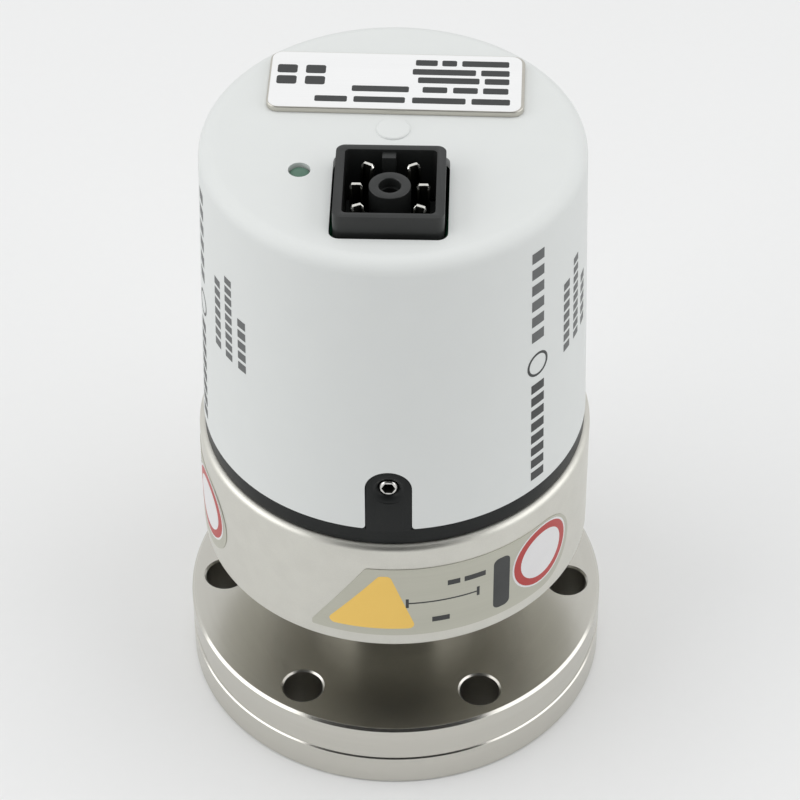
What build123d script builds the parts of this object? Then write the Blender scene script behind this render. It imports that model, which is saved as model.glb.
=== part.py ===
"""Compact full-range vacuum gauge with a knife-edge flange.

The origin is the centre of the flange's underside, +Z runs up the gauge and -Y is the side of
the clamping tab. Bearings in this file are degrees from -Y towards +X. All sizes are millimetres.
"""
from build123d import *
from math import cos, radians, sin, tan
import os

# Flange: a standard 70 mm knife-edge flange for a 48 mm copper gasket
flange_r = 34.95
flange_h = 13.0
flange_top_chamfer = 0.45
flange_base_chamfer = 0.4
bolt_to_rim = 5.6
bolt_count = 6
bolt_hole_r = 3.3
bolt_hole_chamfer = 0.3
rim_groove_low = 6.0
rim_groove_h = 1.8
rim_groove_depth = 0.25
recess_land = 1.9
gasket_recess_depth = 1.9
knife_to_recess = 3.2
knife_tip_depth = 0.65
knife_face_w = 0.15
knife_floor_depth = 2.3
leak_groove_w = 1.6
leak_groove_depth = 1.2
leak_groove_bearings = [120.0, 240.0]
leak_groove_run_out = 0.5
weld_ledge_h = 4.0

# Measuring chamber: a neck welded into the flange, and the body with collar, cell and screw head
port_r = 13.0
neck_wall = 2.0
weld_gap = 0.05
collar_r = 23.0
collar_h = 3.0
cell_bore_r = 17.0
cell_r = 20.6
cell_floor_h = 2.2
cell_roof_h = 2.0
collar_flare_h = 2.0
braze_gap = 0.02
head_h = 8.0
head_rise = 5.4
seal_section = 2.6
seal_groove_outer_r = 16.4
seal_fit = 0.05
screw_circle_r = 18.4
clamp_screw_count = 3
clamp_first_bearing = 30.0
clamp_screw_r = 1.2
clamp_screw_head_r = 2.1
clamp_screw_head_h = 2.4
clamp_screw_fit = 0.15
clamp_screw_thread_depth = 5.0
clamp_socket_r = 1.0
clamp_socket_depth = 1.2

# Magnet unit that slides over the chamber and stands on its collar
magnet_gap = 17.4
housing_r = 31.9
housing_h = 22.2
housing_wall = 1.5
housing_base_h = 5.0
housing_top_round = 1.1
housing_base_round = 0.4
housing_slip = 0.2
cover_h = 2.0
cover_fit = 0.05
magnet_edge = 0.4
magnet_side_gap = 0.4
magnet_bore_gap = 0.8
magnet_h = 5.9
grub_r = 1.45
grub_fit = 0.1
grub_socket_af = 1.5
grub_socket_depth = 1.6
grub_chamfer = 0.22
grub_groove_depth = 0.6
magnet_grub_bearing = 200.0
magnet_grub_sunk = 1.3

# Measuring system that closes the chamber
sensor_flange_h = 4.0
pressure_piece_h = 6.0
pressure_piece_bore_r = 12.6
eyelet_r = 5.6
eyelet_wall = 0.6
glass_rise = 2.5
glass_tip_r = 2.2
glass_flare = 0.6
anode_r = 0.9
anode_drop = 22.0
anode_rise = 9.0
anode_tip_round = 0.54
igniter_r = 2.6
igniter_h = 0.4
igniter_teeth = 6
igniter_notch_r = 0.78
igniter_drop = 5.0
filament_offset = 9.4
filament_tube_r = 2.4
filament_tube_wall = 0.35
filament_tube_drop = 14.0
filament_header_r = 2.7
filament_rim_w = 0.5
filament_rim_h = 0.6
filament_pin_r = 0.35
filament_pin_pitch = 2.2
filament_pin_lift = 1.5
filament_wire_r = 0.15
filament_wire_lift = 2.5
pin_grip = 3.0
pin_grip_fit = 0.05
pin_end_gap = 0.2
high_voltage_sleeve_wall = 1.05
filament_socket_w = 6.0
filament_socket_d = 3.0

# Chassis that carries the cap and the electronics, clamped on the pressure piece
chassis_visible_h = 3.2
chassis_step = 0.1
chassis_edge_chamfer = 0.3
hub_wall = 3.2
hub_slip = 0.25
hub_rise = 12.6
spigot_h = 6.0
spigot_wall = 2.0
tab_w = 7.1
tab_rise = 12.0
tab_set_back = 0.3
base_grub_length = 11.0
countersink_r = 2.3
countersink_run_out = 0.5

# Cap: a thin moulded shell with draft
cap_h = 53.2
cap_base_r = 31.05
cap_draft_angle = 1.5612
cap_wall = 1.3
cap_top_wall = 1.6
cap_top_round = 2.5
cap_inner_round = 1.2
cap_fit = 0.15
notch_gap = 0.12
notch_foot_round = 0.8
gate_pad_r = 2.6
gate_pad_h = 0.35
gate_pad_y = 2.0
gate_pad_round = 0.28
lamp_hole_r = 1.7
lamp_x = -13.81
lamp_y = -8.04

# Name plate on the cap
plate_w = 39.6
plate_d = 14.2
plate_h = 1.0
plate_corner_r = 1.9
plate_edge = 0.15
plate_x = 0.17
plate_y = 12.7
plate_turn = -0.9

# Six-pin connector socket
socket_w = 16.5
socket_d = 17.0
socket_y = -14.55
socket_rise = 3.4
socket_side_wall = 1.35
socket_end_wall = 1.1
socket_corner_r = 1.4
socket_cavity_corner_r = 0.7
socket_edge = 0.25
window_side_gap = 0.55
window_front_gap = 0.85
window_back_gap = 1.8
window_corner_r = 1.6
carrier_h = 2.0
carrier_depth = 9.4
carrier_fit = 0.05
carrier_ledge = 0.4
boss_r = 3.15
boss_drop = 0.8
boss_mouth_r = 1.65
boss_mouth_depth = 1.6
boss_thread_r = 1.3
boss_floor_h = 1.0
key_w = 2.1
key_d = 1.2
key_drop = 0.5
key_h = 4.0
pin_w = 1.95
pin_d = 1.1
pin_stock = 0.35
pin_drop = 0.8
pin_fit = 0.12
pin_tip_chamfer = 0.17
# Each contact: sideways place, place towards the back, and how far its web is turned
pin_layout = [
    (-3.55, 4.8, -28.0),
    (3.5, 4.75, 28.0),
    (-5.0, 0.0, 0.0),
    (5.0, 0.0, 0.0),
    (-4.6, -4.85, 24.0),
    (4.55, -4.95, -24.0),
]

# Electronics inside the cap
board_h = 1.6
board_gap = 2.3
lower_post_h = 16.2
middle_post_h = 19.4
post_r = 2.4
post_pocket_fit = 0.1
post_hub_step = 0.55
post_cap_gap = 1.8
post_bearings = [60.0, 180.0, 300.0]
post_screw_r = 1.25
post_screw_head_r = 2.3
post_screw_head_h = 1.8
post_screw_edge = 0.5
cap_post_x = 13.5
cap_screw_head_r = 2.6
cap_screw_head_h = 1.4
cap_screw_hole_r = 1.6
cap_screw_length = 8.0
cap_post_bore_r = 1.35
cap_screw_fit = 0.05
transformer_w = 17.0
transformer_d = 14.0
transformer_h = 12.0
transformer_x = -11.5
transformer_y = 2.0
winding_w = 10.5
winding_over = 1.5
winding_h = 6.0
multiplier_w = 13.0
multiplier_d = 20.0
multiplier_h = 9.0
multiplier_x = 12.0
multiplier_y = 3.0
multiplier_corner_r = 1.0
multiplier_edge = 0.6
capacitor_r = 3.15
capacitor_h = 11.0
capacitor_edge = 0.45
capacitor_left_x = -6.0
capacitor_right_x = 1.5
capacitor_row_y = 16.8
front_capacitor_x = -11.5
front_capacitor_y = -13.5
trimmer_w = 6.6
trimmer_h = 5.0
trimmer_x = 3.5
trimmer_y = -13.5
rotor_r = 2.0
rotor_h = 0.6
rotor_slot_w = 0.6
rotor_slot_depth = 0.3
chip_w = 5.0
chip_d = 6.2
chip_h = 1.6
right_chip_x = 13.0
right_chip_y = 0.0
front_chip_x = 12.5
front_chip_y = -8.0
left_chip_x = -6.0
left_chip_y = 3.0
link_w = 15.0
link_d = 2.5
link_y = -20.5
lamp_body_r = 1.5
lamp_body_h = 4.0
lamp_body_edge = 0.6
light_pipe_r = 1.55
light_pipe_round = 0.5
light_pipe_set_back = 0.35
light_pipe_collar_w = 0.8
light_pipe_collar_h = 1.0

# Foil labels on the magnet housing
label_thickness = 0.12
label_low = 2.4
label_h = 15.0
label_left_bearing = -23.0
label_foot_h = 1.0
label_top_left_bearing = -6.6
label_corner = 0.5
label_round_bearing = 49.3
label_turn_angle = 120.0
label_round_steps = 9
label_straight_steps = 6

# Radii and heights that follow from these
bolt_circle_r = flange_r - bolt_to_rim
gasket_recess_r = bolt_circle_r - bolt_hole_r - recess_land
knife_tip_r = gasket_recess_r - knife_to_recess
knife_foot_r = knife_tip_r - knife_face_w
neck_r = port_r + neck_wall
housing_z = flange_h + magnet_gap
housing_top_z = housing_z + housing_h
collar_z = housing_z - collar_h
neck_top_z = collar_z - collar_flare_h
cover_z = housing_top_z - cover_h
head_top_z = housing_top_z + head_rise
sensor_top_z = head_top_z + sensor_flange_h
pressure_top_z = sensor_top_z + pressure_piece_h
cap_z = housing_top_z + chassis_visible_h
cap_top_z = cap_z + cap_h
cap_ceiling_z = cap_top_z - cap_top_wall
main_board_z = cap_z + lower_post_h
upper_board_z = main_board_z + board_h + middle_post_h
upper_board_top_z = upper_board_z + board_h
socket_top_z = cap_top_z + socket_rise
carrier_top_z = socket_top_z - carrier_depth
boss_top_z = socket_top_z - boss_drop
pin_top_z = socket_top_z - pin_drop
tab_half_w = tab_w / 2
tab_arch_z = cap_z + tab_rise - tab_half_w
cap_top_r = cap_base_r - cap_h * tan(radians(cap_draft_angle))
cap_draft = (cap_base_r - cap_top_r) / cap_h
hub_bore_r = cell_r + hub_slip
hub_top_z = cap_z + hub_rise
magnet_stack_z = housing_z + housing_base_h
spacer_h = cover_z - magnet_stack_z - 2 * magnet_h
housing_bore_r = cell_r + housing_slip
magnet_r = housing_r - housing_wall - magnet_side_gap
magnet_bore_r = cell_r + magnet_bore_gap
chassis_r = cap_base_r - chassis_step
main_board_r = cap_base_r - cap_draft * (main_board_z - cap_z) - cap_wall - board_gap
upper_board_r = cap_base_r - cap_draft * (upper_board_z - cap_z) - cap_wall - board_gap
upper_board_room_r = cap_base_r - cap_draft * (upper_board_top_z - cap_z) - cap_wall
lower_post_circle_r = hub_bore_r + hub_wall + post_hub_step
upper_post_circle_r = upper_board_room_r - post_screw_head_r - post_cap_gap


def at_bearing(bearing, radius, height=0.0):
    """Place at a bearing from -Y towards +X."""
    angle = radians(bearing)
    return (radius * sin(angle), -radius * cos(angle), height)


def turned(corners):
    """Solid turned about the gauge axis from (radius, height) corners."""
    outline = Polyline(*[(r, 0, z) for r, z in corners], close=True)
    return revolve(make_face(outline), axis=Axis.Z)


def post(radius, height, x, y, z):
    """Upright cylinder whose foot is centred on x, y, z."""
    return Pos(x, y, z + height / 2) * Cylinder(radius, height)


def tube(outer_r, inner_r, height, z, x=0.0, y=0.0):
    """Upright round tube whose foot is at height z."""
    return post(outer_r, height, x, y, z) - post(inner_r, height, x, y, z)


def block(width, depth, height, x, y, z):
    """Box centred on x and y that stands on height z."""
    return Pos(x, y, z + height / 2) * Box(width, depth, height)


def rounded_block(width, depth, height, corner_r, x, y, z):
    """Upright block with round vertical corners that stands on height z."""
    outline = RectangleRounded(width, depth, corner_r)
    return Pos(x, y, z) * extrude(outline, height)


def radial_rod(radius, inner_r, outer_r, bearing, height):
    """Cylinder that points away from the axis at a bearing."""
    length = outer_r - inner_r
    rod = Pos(0, -inner_r - length / 2, height) * Rot(90, 0, 0) * Cylinder(radius, length)
    return Rot(0, 0, bearing) * rod


def cap_radius(z, inset=0.0):
    """Outer radius of the drafted cap at a height, less an inset."""
    return cap_base_r - cap_draft * (z - cap_z) - inset


def grub_screw(length, outer_r, bearing, height):
    """Headless screw with a hexagon socket in its outer end."""
    body = radial_rod(grub_r, outer_r - length, outer_r, bearing, height)
    socket = extrude(RegularPolygon(grub_socket_af / 2, 6, major_radius=False), grub_socket_depth)
    socket = Pos(0, -outer_r + grub_socket_depth, height) * Rot(90, 0, 0) * socket
    body = body - Rot(0, 0, bearing) * socket
    rims = body.edges().filter_by(GeomType.CIRCLE)
    return chamfer(rims, grub_chamfer)


def make_cf_flange():
    """Knife-edge flange with its bolt holes, gasket recess and rim groove."""
    bore_r = neck_r + weld_gap
    groove_r = flange_r - rim_groove_depth
    groove_top = rim_groove_low + rim_groove_h
    body = turned([
        (port_r, knife_floor_depth),
        (knife_foot_r, knife_floor_depth),
        (knife_tip_r, knife_tip_depth),
        (gasket_recess_r, gasket_recess_depth),
        (gasket_recess_r, 0),
        (flange_r - flange_base_chamfer, 0),
        (flange_r, flange_base_chamfer),
        (flange_r, rim_groove_low - rim_groove_depth),
        (groove_r, rim_groove_low),
        (groove_r, groove_top),
        (flange_r, groove_top + rim_groove_depth),
        (flange_r, flange_h - flange_top_chamfer),
        (flange_r - flange_top_chamfer, flange_h),
        (bore_r, flange_h),
        (bore_r, weld_ledge_h),
        (port_r, weld_ledge_h),
    ])
    first_bearing = 180 / bolt_count
    sink_r = bolt_hole_r + bolt_hole_chamfer
    for index in range(bolt_count):
        x, y, _ = at_bearing(first_bearing + index * 360 / bolt_count, bolt_circle_r)
        body = body - post(bolt_hole_r, flange_h, x, y, 0)
        sink = Cone(bolt_hole_r, sink_r, bolt_hole_chamfer)
        body = body - Pos(x, y, flange_h - bolt_hole_chamfer / 2) * sink
    leak_length = flange_r - gasket_recess_r + 2 * leak_groove_run_out
    leak_y = -(flange_r + gasket_recess_r) / 2
    for bearing in leak_groove_bearings:
        slot = block(leak_groove_w, leak_length, leak_groove_depth, 0, leak_y, 0)
        body = body - Rot(0, 0, bearing) * slot
    return body


def make_port_neck():
    """Tube that is welded into the flange and to the chamber body."""
    return tube(neck_r, port_r, neck_top_z - weld_ledge_h, weld_ledge_h)


def make_chamber_body():
    """Turned chamber body: collar under the magnet unit, cell and screw head."""
    head_z = head_top_z - head_h
    body = turned([
        (port_r, neck_top_z),
        (neck_r, neck_top_z),
        (collar_r, collar_z),
        (collar_r, housing_z),
        (cell_r, housing_z),
        (cell_r, head_top_z),
        (seal_groove_outer_r, head_top_z),
        (seal_groove_outer_r, head_top_z - seal_section),
        (port_r, head_top_z - seal_section),
        (port_r, head_z + cell_roof_h),
        (cell_bore_r, head_z),
        (cell_bore_r, housing_z + cell_floor_h),
        (port_r, housing_z),
    ])
    depth = clamp_screw_thread_depth
    for bearing in clamp_bearings():
        x, y, _ = at_bearing(bearing, screw_circle_r)
        body = body - post(clamp_screw_r + braze_gap, depth, x, y, head_top_z - depth)
    return body


def clamp_bearings():
    """Bearings of the screws that clamp the measuring system."""
    pitch = 360 / clamp_screw_count
    return [clamp_first_bearing + index * pitch for index in range(clamp_screw_count)]


def make_magnet_housing():
    """Turned steel cup with a thick base, drilled for its locking screw."""
    wall_r = housing_r - housing_wall
    cup = turned([
        (housing_bore_r, housing_z),
        (housing_r, housing_z),
        (housing_r, housing_top_z),
        (wall_r, housing_top_z),
        (wall_r, magnet_stack_z),
        (housing_bore_r, magnet_stack_z),
    ])
    rims = cup.edges().filter_by(GeomType.CIRCLE).filter_by(lambda e: abs(e.radius - housing_r) < 0.01)
    cup = fillet(rims.sort_by(Axis.Z)[-1], housing_top_round)
    rims = cup.edges().filter_by(GeomType.CIRCLE).filter_by(lambda e: abs(e.radius - housing_r) < 0.01)
    cup = fillet(rims.sort_by(Axis.Z)[0], housing_base_round)
    hole_z = housing_z + housing_base_h / 2
    hole = radial_rod(grub_r + grub_fit, housing_bore_r - 1, housing_r + 1, magnet_grub_bearing, hole_z)
    return cup - hole


def make_magnet_ring(z):
    """Ring magnet with small edge chamfers that stands on height z."""
    ring = tube(magnet_r, magnet_bore_r, magnet_h, z)
    return chamfer(ring.edges().filter_by(GeomType.CIRCLE), magnet_edge)


def make_magnet_spacer():
    """Plain ring that holds the two magnets apart."""
    return tube(magnet_r, magnet_bore_r, spacer_h, magnet_stack_z + magnet_h)


def make_magnet_cover():
    """Steel washer that closes the magnet housing."""
    return tube(housing_r - housing_wall - cover_fit, housing_bore_r, cover_h, cover_z)


def make_magnet_grub_screw():
    """Screw that locks the magnet unit on the chamber."""
    height = housing_z + housing_base_h / 2
    outer_r = housing_r - magnet_grub_sunk
    return grub_screw(outer_r - cell_r, outer_r, magnet_grub_bearing, height)


def make_chamber_seal():
    """Elastomer ring between the chamber head and the measuring system."""
    section_r = seal_section / 2
    ring_r = seal_groove_outer_r - seal_fit - section_r
    return Pos(0, 0, head_top_z - section_r) * Torus(ring_r, section_r)


def make_support_ring():
    """Thin steel ring that backs the seal on the vacuum side."""
    outer_r = seal_groove_outer_r - 3 * seal_fit - seal_section
    return tube(outer_r, port_r, seal_section - 2 * seal_fit, head_top_z - seal_section)


def make_sensor_flange():
    """Disc that carries the high-voltage and heat-loss feedthroughs."""
    disc = post(cell_r, sensor_flange_h, 0, 0, head_top_z)
    disc = disc - post(eyelet_r + braze_gap, sensor_flange_h, 0, 0, head_top_z)
    header_hole_r = filament_header_r + braze_gap
    disc = disc - post(header_hole_r, sensor_flange_h, filament_offset, 0, head_top_z)
    for bearing in clamp_bearings():
        x, y, _ = at_bearing(bearing, screw_circle_r)
        disc = disc - post(clamp_screw_r + clamp_screw_fit, sensor_flange_h, x, y, head_top_z)
    return disc


def make_feedthrough_eyelet():
    """Metal ring brazed into the sensor flange round the glass, with a rim that seats on it."""
    body = tube(eyelet_r, eyelet_r - eyelet_wall, sensor_flange_h, head_top_z)
    rim = tube(eyelet_r + eyelet_wall, eyelet_r - eyelet_wall, eyelet_wall, sensor_top_z)
    return body + rim


def make_glass_insulator():
    """Fused glass body that carries the anode pin."""
    outer_r = eyelet_r - eyelet_wall
    return turned([
        (anode_r, head_top_z - glass_rise),
        (glass_tip_r, head_top_z - glass_rise),
        (glass_tip_r + glass_flare, head_top_z),
        (outer_r, head_top_z + glass_flare),
        (outer_r, sensor_top_z - glass_flare),
        (glass_tip_r + glass_flare, sensor_top_z),
        (glass_tip_r, sensor_top_z + glass_rise),
        (anode_r, sensor_top_z + glass_rise),
    ])


def make_anode_pin():
    """Rod anode on the axis of the cell with a rounded lower end."""
    low = head_top_z - anode_drop
    rod = post(anode_r, sensor_top_z + anode_rise - low, 0, 0, low)
    return fillet(rod.edges().filter_by(GeomType.CIRCLE), anode_tip_round)


def make_igniter():
    """Toothed spring disc on the anode that helps the discharge to start."""
    z = head_top_z - igniter_drop - igniter_h
    disc = post(igniter_r, igniter_h, 0, 0, z)
    for index in range(igniter_teeth):
        x, y, _ = at_bearing(index * 360 / igniter_teeth, igniter_r)
        disc = disc - post(igniter_notch_r, igniter_h, x, y, z)
    return disc - post(anode_r, igniter_h, 0, 0, z)


def make_filament_header():
    """Glass and metal plug through which the filament's pins pass."""
    plug = post(filament_header_r, sensor_flange_h, filament_offset, 0, head_top_z)
    rim = post(filament_header_r + filament_rim_w, filament_rim_h, filament_offset, 0, sensor_top_z)
    plug = plug + rim
    for x in filament_pin_places():
        plug = plug - post(filament_pin_r, sensor_flange_h + filament_rim_h, x, 0, head_top_z)
    return plug


def filament_pin_places():
    """Sideways places of the two filament pins."""
    return [filament_offset - filament_pin_pitch / 2, filament_offset + filament_pin_pitch / 2]


def make_filament_tube():
    """Thin open tube that hangs in the chamber round the filament."""
    return tube(
        filament_tube_r, filament_tube_r - filament_tube_wall, filament_tube_drop,
        head_top_z - filament_tube_drop, filament_offset)


def make_filament_pins():
    """Pair of pins that carry the filament and reach the board's socket."""
    low = head_top_z - filament_tube_drop + filament_pin_lift
    height = sensor_top_z + anode_rise - low
    return [post(filament_pin_r, height, x, 0, low) for x in filament_pin_places()]


def make_filament():
    """Fine heated wire between the pins."""
    low = head_top_z - filament_tube_drop + filament_wire_lift
    inner_gap = filament_pin_pitch - 2 * filament_pin_r
    wire = Rot(0, 90, 0) * Cylinder(filament_wire_r, inner_gap)
    return Pos(filament_offset, 0, low) * wire


def make_pressure_piece():
    """Clamping ring with a groove round its rim for the chassis screw."""
    groove_z = tab_arch_z
    depth = grub_groove_depth
    body = turned([
        (pressure_piece_bore_r, sensor_top_z),
        (cell_r, sensor_top_z),
        (cell_r, groove_z - grub_r - depth),
        (cell_r - depth, groove_z - grub_r),
        (cell_r - depth, groove_z + grub_r),
        (cell_r, groove_z + grub_r + depth),
        (cell_r, pressure_top_z),
        (pressure_piece_bore_r, pressure_top_z),
    ])
    for bearing in clamp_bearings():
        x, y, _ = at_bearing(bearing, screw_circle_r)
        body = body - post(clamp_screw_r + clamp_screw_fit, pressure_piece_h, x, y, sensor_top_z)
    return body


def make_clamp_screws():
    """Socket-head screws through the pressure piece into the chamber head."""
    low = head_top_z - clamp_screw_thread_depth
    screws = []
    for bearing in clamp_bearings():
        x, y, _ = at_bearing(bearing, screw_circle_r)
        shank = post(clamp_screw_r, pressure_top_z - low, x, y, low)
        head = post(clamp_screw_head_r, clamp_screw_head_h, x, y, pressure_top_z)
        socket = extrude(RegularPolygon(clamp_socket_r, 6, major_radius=False), clamp_socket_depth)
        head = head - Pos(x, y, pressure_top_z + clamp_screw_head_h - clamp_socket_depth) * socket
        screws.append(shank + head)
    return screws


def make_high_voltage_socket():
    """Sprung sleeve under the main board that grips the anode pin."""
    low = sensor_top_z + anode_rise - pin_grip
    bore_r = anode_r + pin_grip_fit
    sleeve = post(bore_r + high_voltage_sleeve_wall, main_board_z - low, 0, 0, low)
    return sleeve - post(bore_r, pin_grip + pin_end_gap, 0, 0, low)


def make_filament_socket():
    """Two-way socket under the main board for the filament pins."""
    low = sensor_top_z + anode_rise - pin_grip
    body = block(filament_socket_w, filament_socket_d, main_board_z - low, filament_offset, 0, low)
    for x in filament_pin_places():
        body = body - post(filament_pin_r + pin_grip_fit, pin_grip + pin_end_gap, x, 0, low)
    return body


def make_chassis():
    """Black base with the visible ring, the clamping hub, the cap's spigot and the tab."""
    spigot_r = cap_radius(cap_z, cap_wall + cap_fit)
    spigot_top_r = cap_radius(cap_z + spigot_h, cap_wall + cap_fit)
    body = turned([
        (hub_bore_r, housing_top_z),
        (chassis_r - chassis_edge_chamfer, housing_top_z),
        (chassis_r, housing_top_z + chassis_edge_chamfer),
        (chassis_r, cap_z),
        (spigot_r, cap_z),
        (spigot_top_r, cap_z + spigot_h),
        (spigot_top_r - spigot_wall, cap_z + spigot_h),
        (spigot_top_r - spigot_wall, cap_z),
        (hub_bore_r + hub_wall, cap_z),
        (hub_bore_r + hub_wall, hub_top_z),
        (hub_bore_r, hub_top_z),
    ])
    tab_depth = cap_base_r - hub_bore_r - hub_wall / 2
    tab = block(tab_w, tab_depth, tab_arch_z - cap_z, 0, -cap_base_r + tab_depth / 2, cap_z)
    arch = Pos(0, -cap_base_r + tab_depth / 2, tab_arch_z) * Rot(90, 0, 0) * Cylinder(tab_half_w, tab_depth)
    tab = tab + arch
    envelope_top = cap_z + 2 * tab_rise
    envelope = Cone(
        cap_radius(cap_z, tab_set_back), cap_radius(envelope_top, tab_set_back), envelope_top - cap_z)
    tab = tab & Pos(0, 0, (cap_z + envelope_top) / 2) * envelope
    body = body + tab
    for bearing in post_bearings:
        x, y, _ = at_bearing(bearing, lower_post_circle_r)
        body = body - post(post_r + post_pocket_fit, hub_rise, x, y, cap_z)
    face_r = cap_radius(tab_arch_z, tab_set_back)
    body = body - radial_rod(grub_r + grub_fit, hub_bore_r - 1, face_r + 1, 0, tab_arch_z)
    sink_depth = countersink_r - grub_r
    over = countersink_run_out
    sink = Cone(countersink_r + over, grub_r, sink_depth + over)
    sink = Pos(0, -face_r + (sink_depth - over) / 2, tab_arch_z) * Rot(-90, 0, 0) * sink
    return body - sink


def make_base_grub_screw():
    """Screw in the tab that locks the chassis in the pressure piece's groove."""
    tip_r = cell_r - grub_groove_depth
    return grub_screw(base_grub_length, tip_r + base_grub_length, 0, tab_arch_z)


def make_lower_posts():
    """Pillars from the chassis to the main board."""
    places = [at_bearing(bearing, lower_post_circle_r, cap_z) for bearing in post_bearings]
    return [extrude(Pos(*place) * RegularPolygon(post_r, 6), lower_post_h) for place in places]


def make_middle_posts():
    """Pillars between the two boards."""
    low = main_board_z + board_h
    places = [at_bearing(bearing, upper_post_circle_r, low) for bearing in post_bearings]
    return [extrude(Pos(*place) * RegularPolygon(post_r, 6), middle_post_h) for place in places]


def make_board(radius, z):
    """Round circuit board with a screw hole at each pillar."""
    board = post(radius, board_h, 0, 0, z)
    for bearing in post_bearings:
        x, y, _ = at_bearing(bearing, upper_post_circle_r)
        board = board - post(post_screw_r, board_h, x, y, z)
    return board


def make_board_screws():
    """Screws that hold the upper board on the middle pillars."""
    screws = []
    for bearing in post_bearings:
        x, y, _ = at_bearing(bearing, upper_post_circle_r)
        head = post(post_screw_head_r, post_screw_head_h, x, y, upper_board_top_z)
        screws.append(chamfer(head.edges().sort_by(Axis.Z)[-1], post_screw_edge))
    return screws


def make_cap_posts():
    """Tapped pillars from the upper board to the cap's ceiling, under the name plate."""
    height = cap_ceiling_z - upper_board_top_z
    posts = []
    for x in (-cap_post_x, cap_post_x):
        pillar = extrude(Pos(x, plate_y, upper_board_top_z) * RegularPolygon(post_r, 6), height)
        bore_low = cap_top_z - cap_screw_length
        pillar = pillar - post(cap_post_bore_r, cap_ceiling_z - bore_low, x, plate_y, bore_low)
        posts.append(pillar)
    return posts


def make_cap_screws():
    """Countersunk screws under the name plate that hold the cap."""
    screws = []
    for x in (-cap_post_x, cap_post_x):
        low = cap_top_z - cap_screw_length
        shank = post(cap_post_bore_r - cap_screw_fit, cap_screw_length, x, plate_y, low)
        head = Cone(cap_post_bore_r, cap_screw_head_r - 2 * cap_screw_fit, cap_screw_head_h)
        head = Pos(x, plate_y, cap_top_z - cap_screw_head_h / 2) * head
        screws.append(shank + head)
    return screws


def make_transformer():
    """Wound transformer: a ferrite frame with a bobbin between its legs."""
    low = main_board_z + board_h
    frame = block(transformer_w, transformer_d, transformer_h, transformer_x, transformer_y, low)
    winding_d = transformer_d + 2 * winding_over
    winding_low = low + (transformer_h - winding_h) / 2
    return frame + block(winding_w, winding_d, winding_h, transformer_x, transformer_y, winding_low)


def make_multiplier():
    """Potted high-voltage multiplier block."""
    low = main_board_z + board_h
    body = rounded_block(
        multiplier_w, multiplier_d, multiplier_h, multiplier_corner_r, multiplier_x, multiplier_y, low)
    return chamfer(body.faces().sort_by(Axis.Z)[-1].edges(), multiplier_edge)


def make_capacitors():
    """Round electrolytic capacitors on the main board."""
    low = main_board_z + board_h
    places = [
        (capacitor_left_x, capacitor_row_y),
        (capacitor_right_x, capacitor_row_y),
        (front_capacitor_x, front_capacitor_y),
    ]
    cans = []
    for x, y in places:
        can = post(capacitor_r, capacitor_h, x, y, low)
        cans.append(chamfer(can.edges().sort_by(Axis.Z)[-1], capacitor_edge))
    return cans


def make_trimmer():
    """Adjustment potentiometer with a slotted rotor."""
    low = main_board_z + board_h
    rotor_low = low + trimmer_h
    body = block(trimmer_w, trimmer_w, trimmer_h, trimmer_x, trimmer_y, low)
    rotor = post(rotor_r, rotor_h, trimmer_x, trimmer_y, rotor_low)
    slot_low = rotor_low + rotor_h - rotor_slot_depth
    slot = block(trimmer_w, rotor_slot_w, rotor_slot_depth, trimmer_x, trimmer_y, slot_low)
    return body + (rotor - slot)


def make_chips():
    """Flat integrated circuits on the upper board."""
    places = [(right_chip_x, right_chip_y), (front_chip_x, front_chip_y), (left_chip_x, left_chip_y)]
    return [block(chip_w, chip_d, chip_h, x, y, upper_board_top_z) for x, y in places]


def make_board_link():
    """Stacking connector between the two boards."""
    return block(link_w, link_d, middle_post_h, 0, link_y, main_board_z + board_h)


def make_status_lamp():
    """Small indicator lamp on the upper board."""
    lamp = post(lamp_body_r, lamp_body_h, lamp_x, lamp_y, upper_board_top_z)
    return chamfer(lamp.edges().sort_by(Axis.Z)[-1], lamp_body_edge)


def make_light_pipe():
    """Clear rod that brings the lamp's light to the cap's hole, with a collar under the cap."""
    low = upper_board_top_z + lamp_body_h
    height = cap_top_z - light_pipe_set_back - low
    rod = post(light_pipe_r, height, lamp_x, lamp_y, low)
    rod = fillet(rod.edges().sort_by(Axis.Z)[-1], light_pipe_round)
    collar_r = light_pipe_r + light_pipe_collar_w
    collar_low = cap_ceiling_z - light_pipe_collar_h
    collar = post(collar_r, light_pipe_collar_h, lamp_x, lamp_y, collar_low)
    return rod + collar


def make_cap():
    """Drafted cap with its rounded top edge, tab notch, socket window and lamp hole."""
    body = Pos(0, 0, cap_z + cap_h / 2) * Cone(cap_base_r, cap_top_r, cap_h)
    body = fillet(body.edges().sort_by(Axis.Z)[-1], cap_top_round)
    inner_h = cap_ceiling_z - cap_z
    inner_top_r = cap_radius(cap_ceiling_z, cap_wall)
    hollow = Pos(0, 0, cap_z + inner_h / 2) * Cone(cap_base_r - cap_wall, inner_top_r, inner_h)
    hollow = fillet(hollow.edges().sort_by(Axis.Z)[-1], cap_inner_round)
    body = body - hollow
    body = body - make_notch()
    body = body - make_window()
    body = body - post(lamp_hole_r, cap_top_wall * 2, lamp_x, lamp_y, cap_ceiling_z - cap_top_wall / 2)
    for x in (-cap_post_x, cap_post_x):
        body = body - post(cap_screw_hole_r, cap_top_wall, x, plate_y, cap_ceiling_z)
        sink_z = cap_top_z - cap_screw_head_h / 2
        body = body - Pos(x, plate_y, sink_z) * Cone(cap_screw_hole_r, cap_screw_head_r, cap_screw_head_h)
    pad = post(gate_pad_r, gate_pad_h, 0, gate_pad_y, cap_top_z)
    pad = fillet(pad.edges().sort_by(Axis.Z)[-1], gate_pad_round)
    return body + pad


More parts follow.
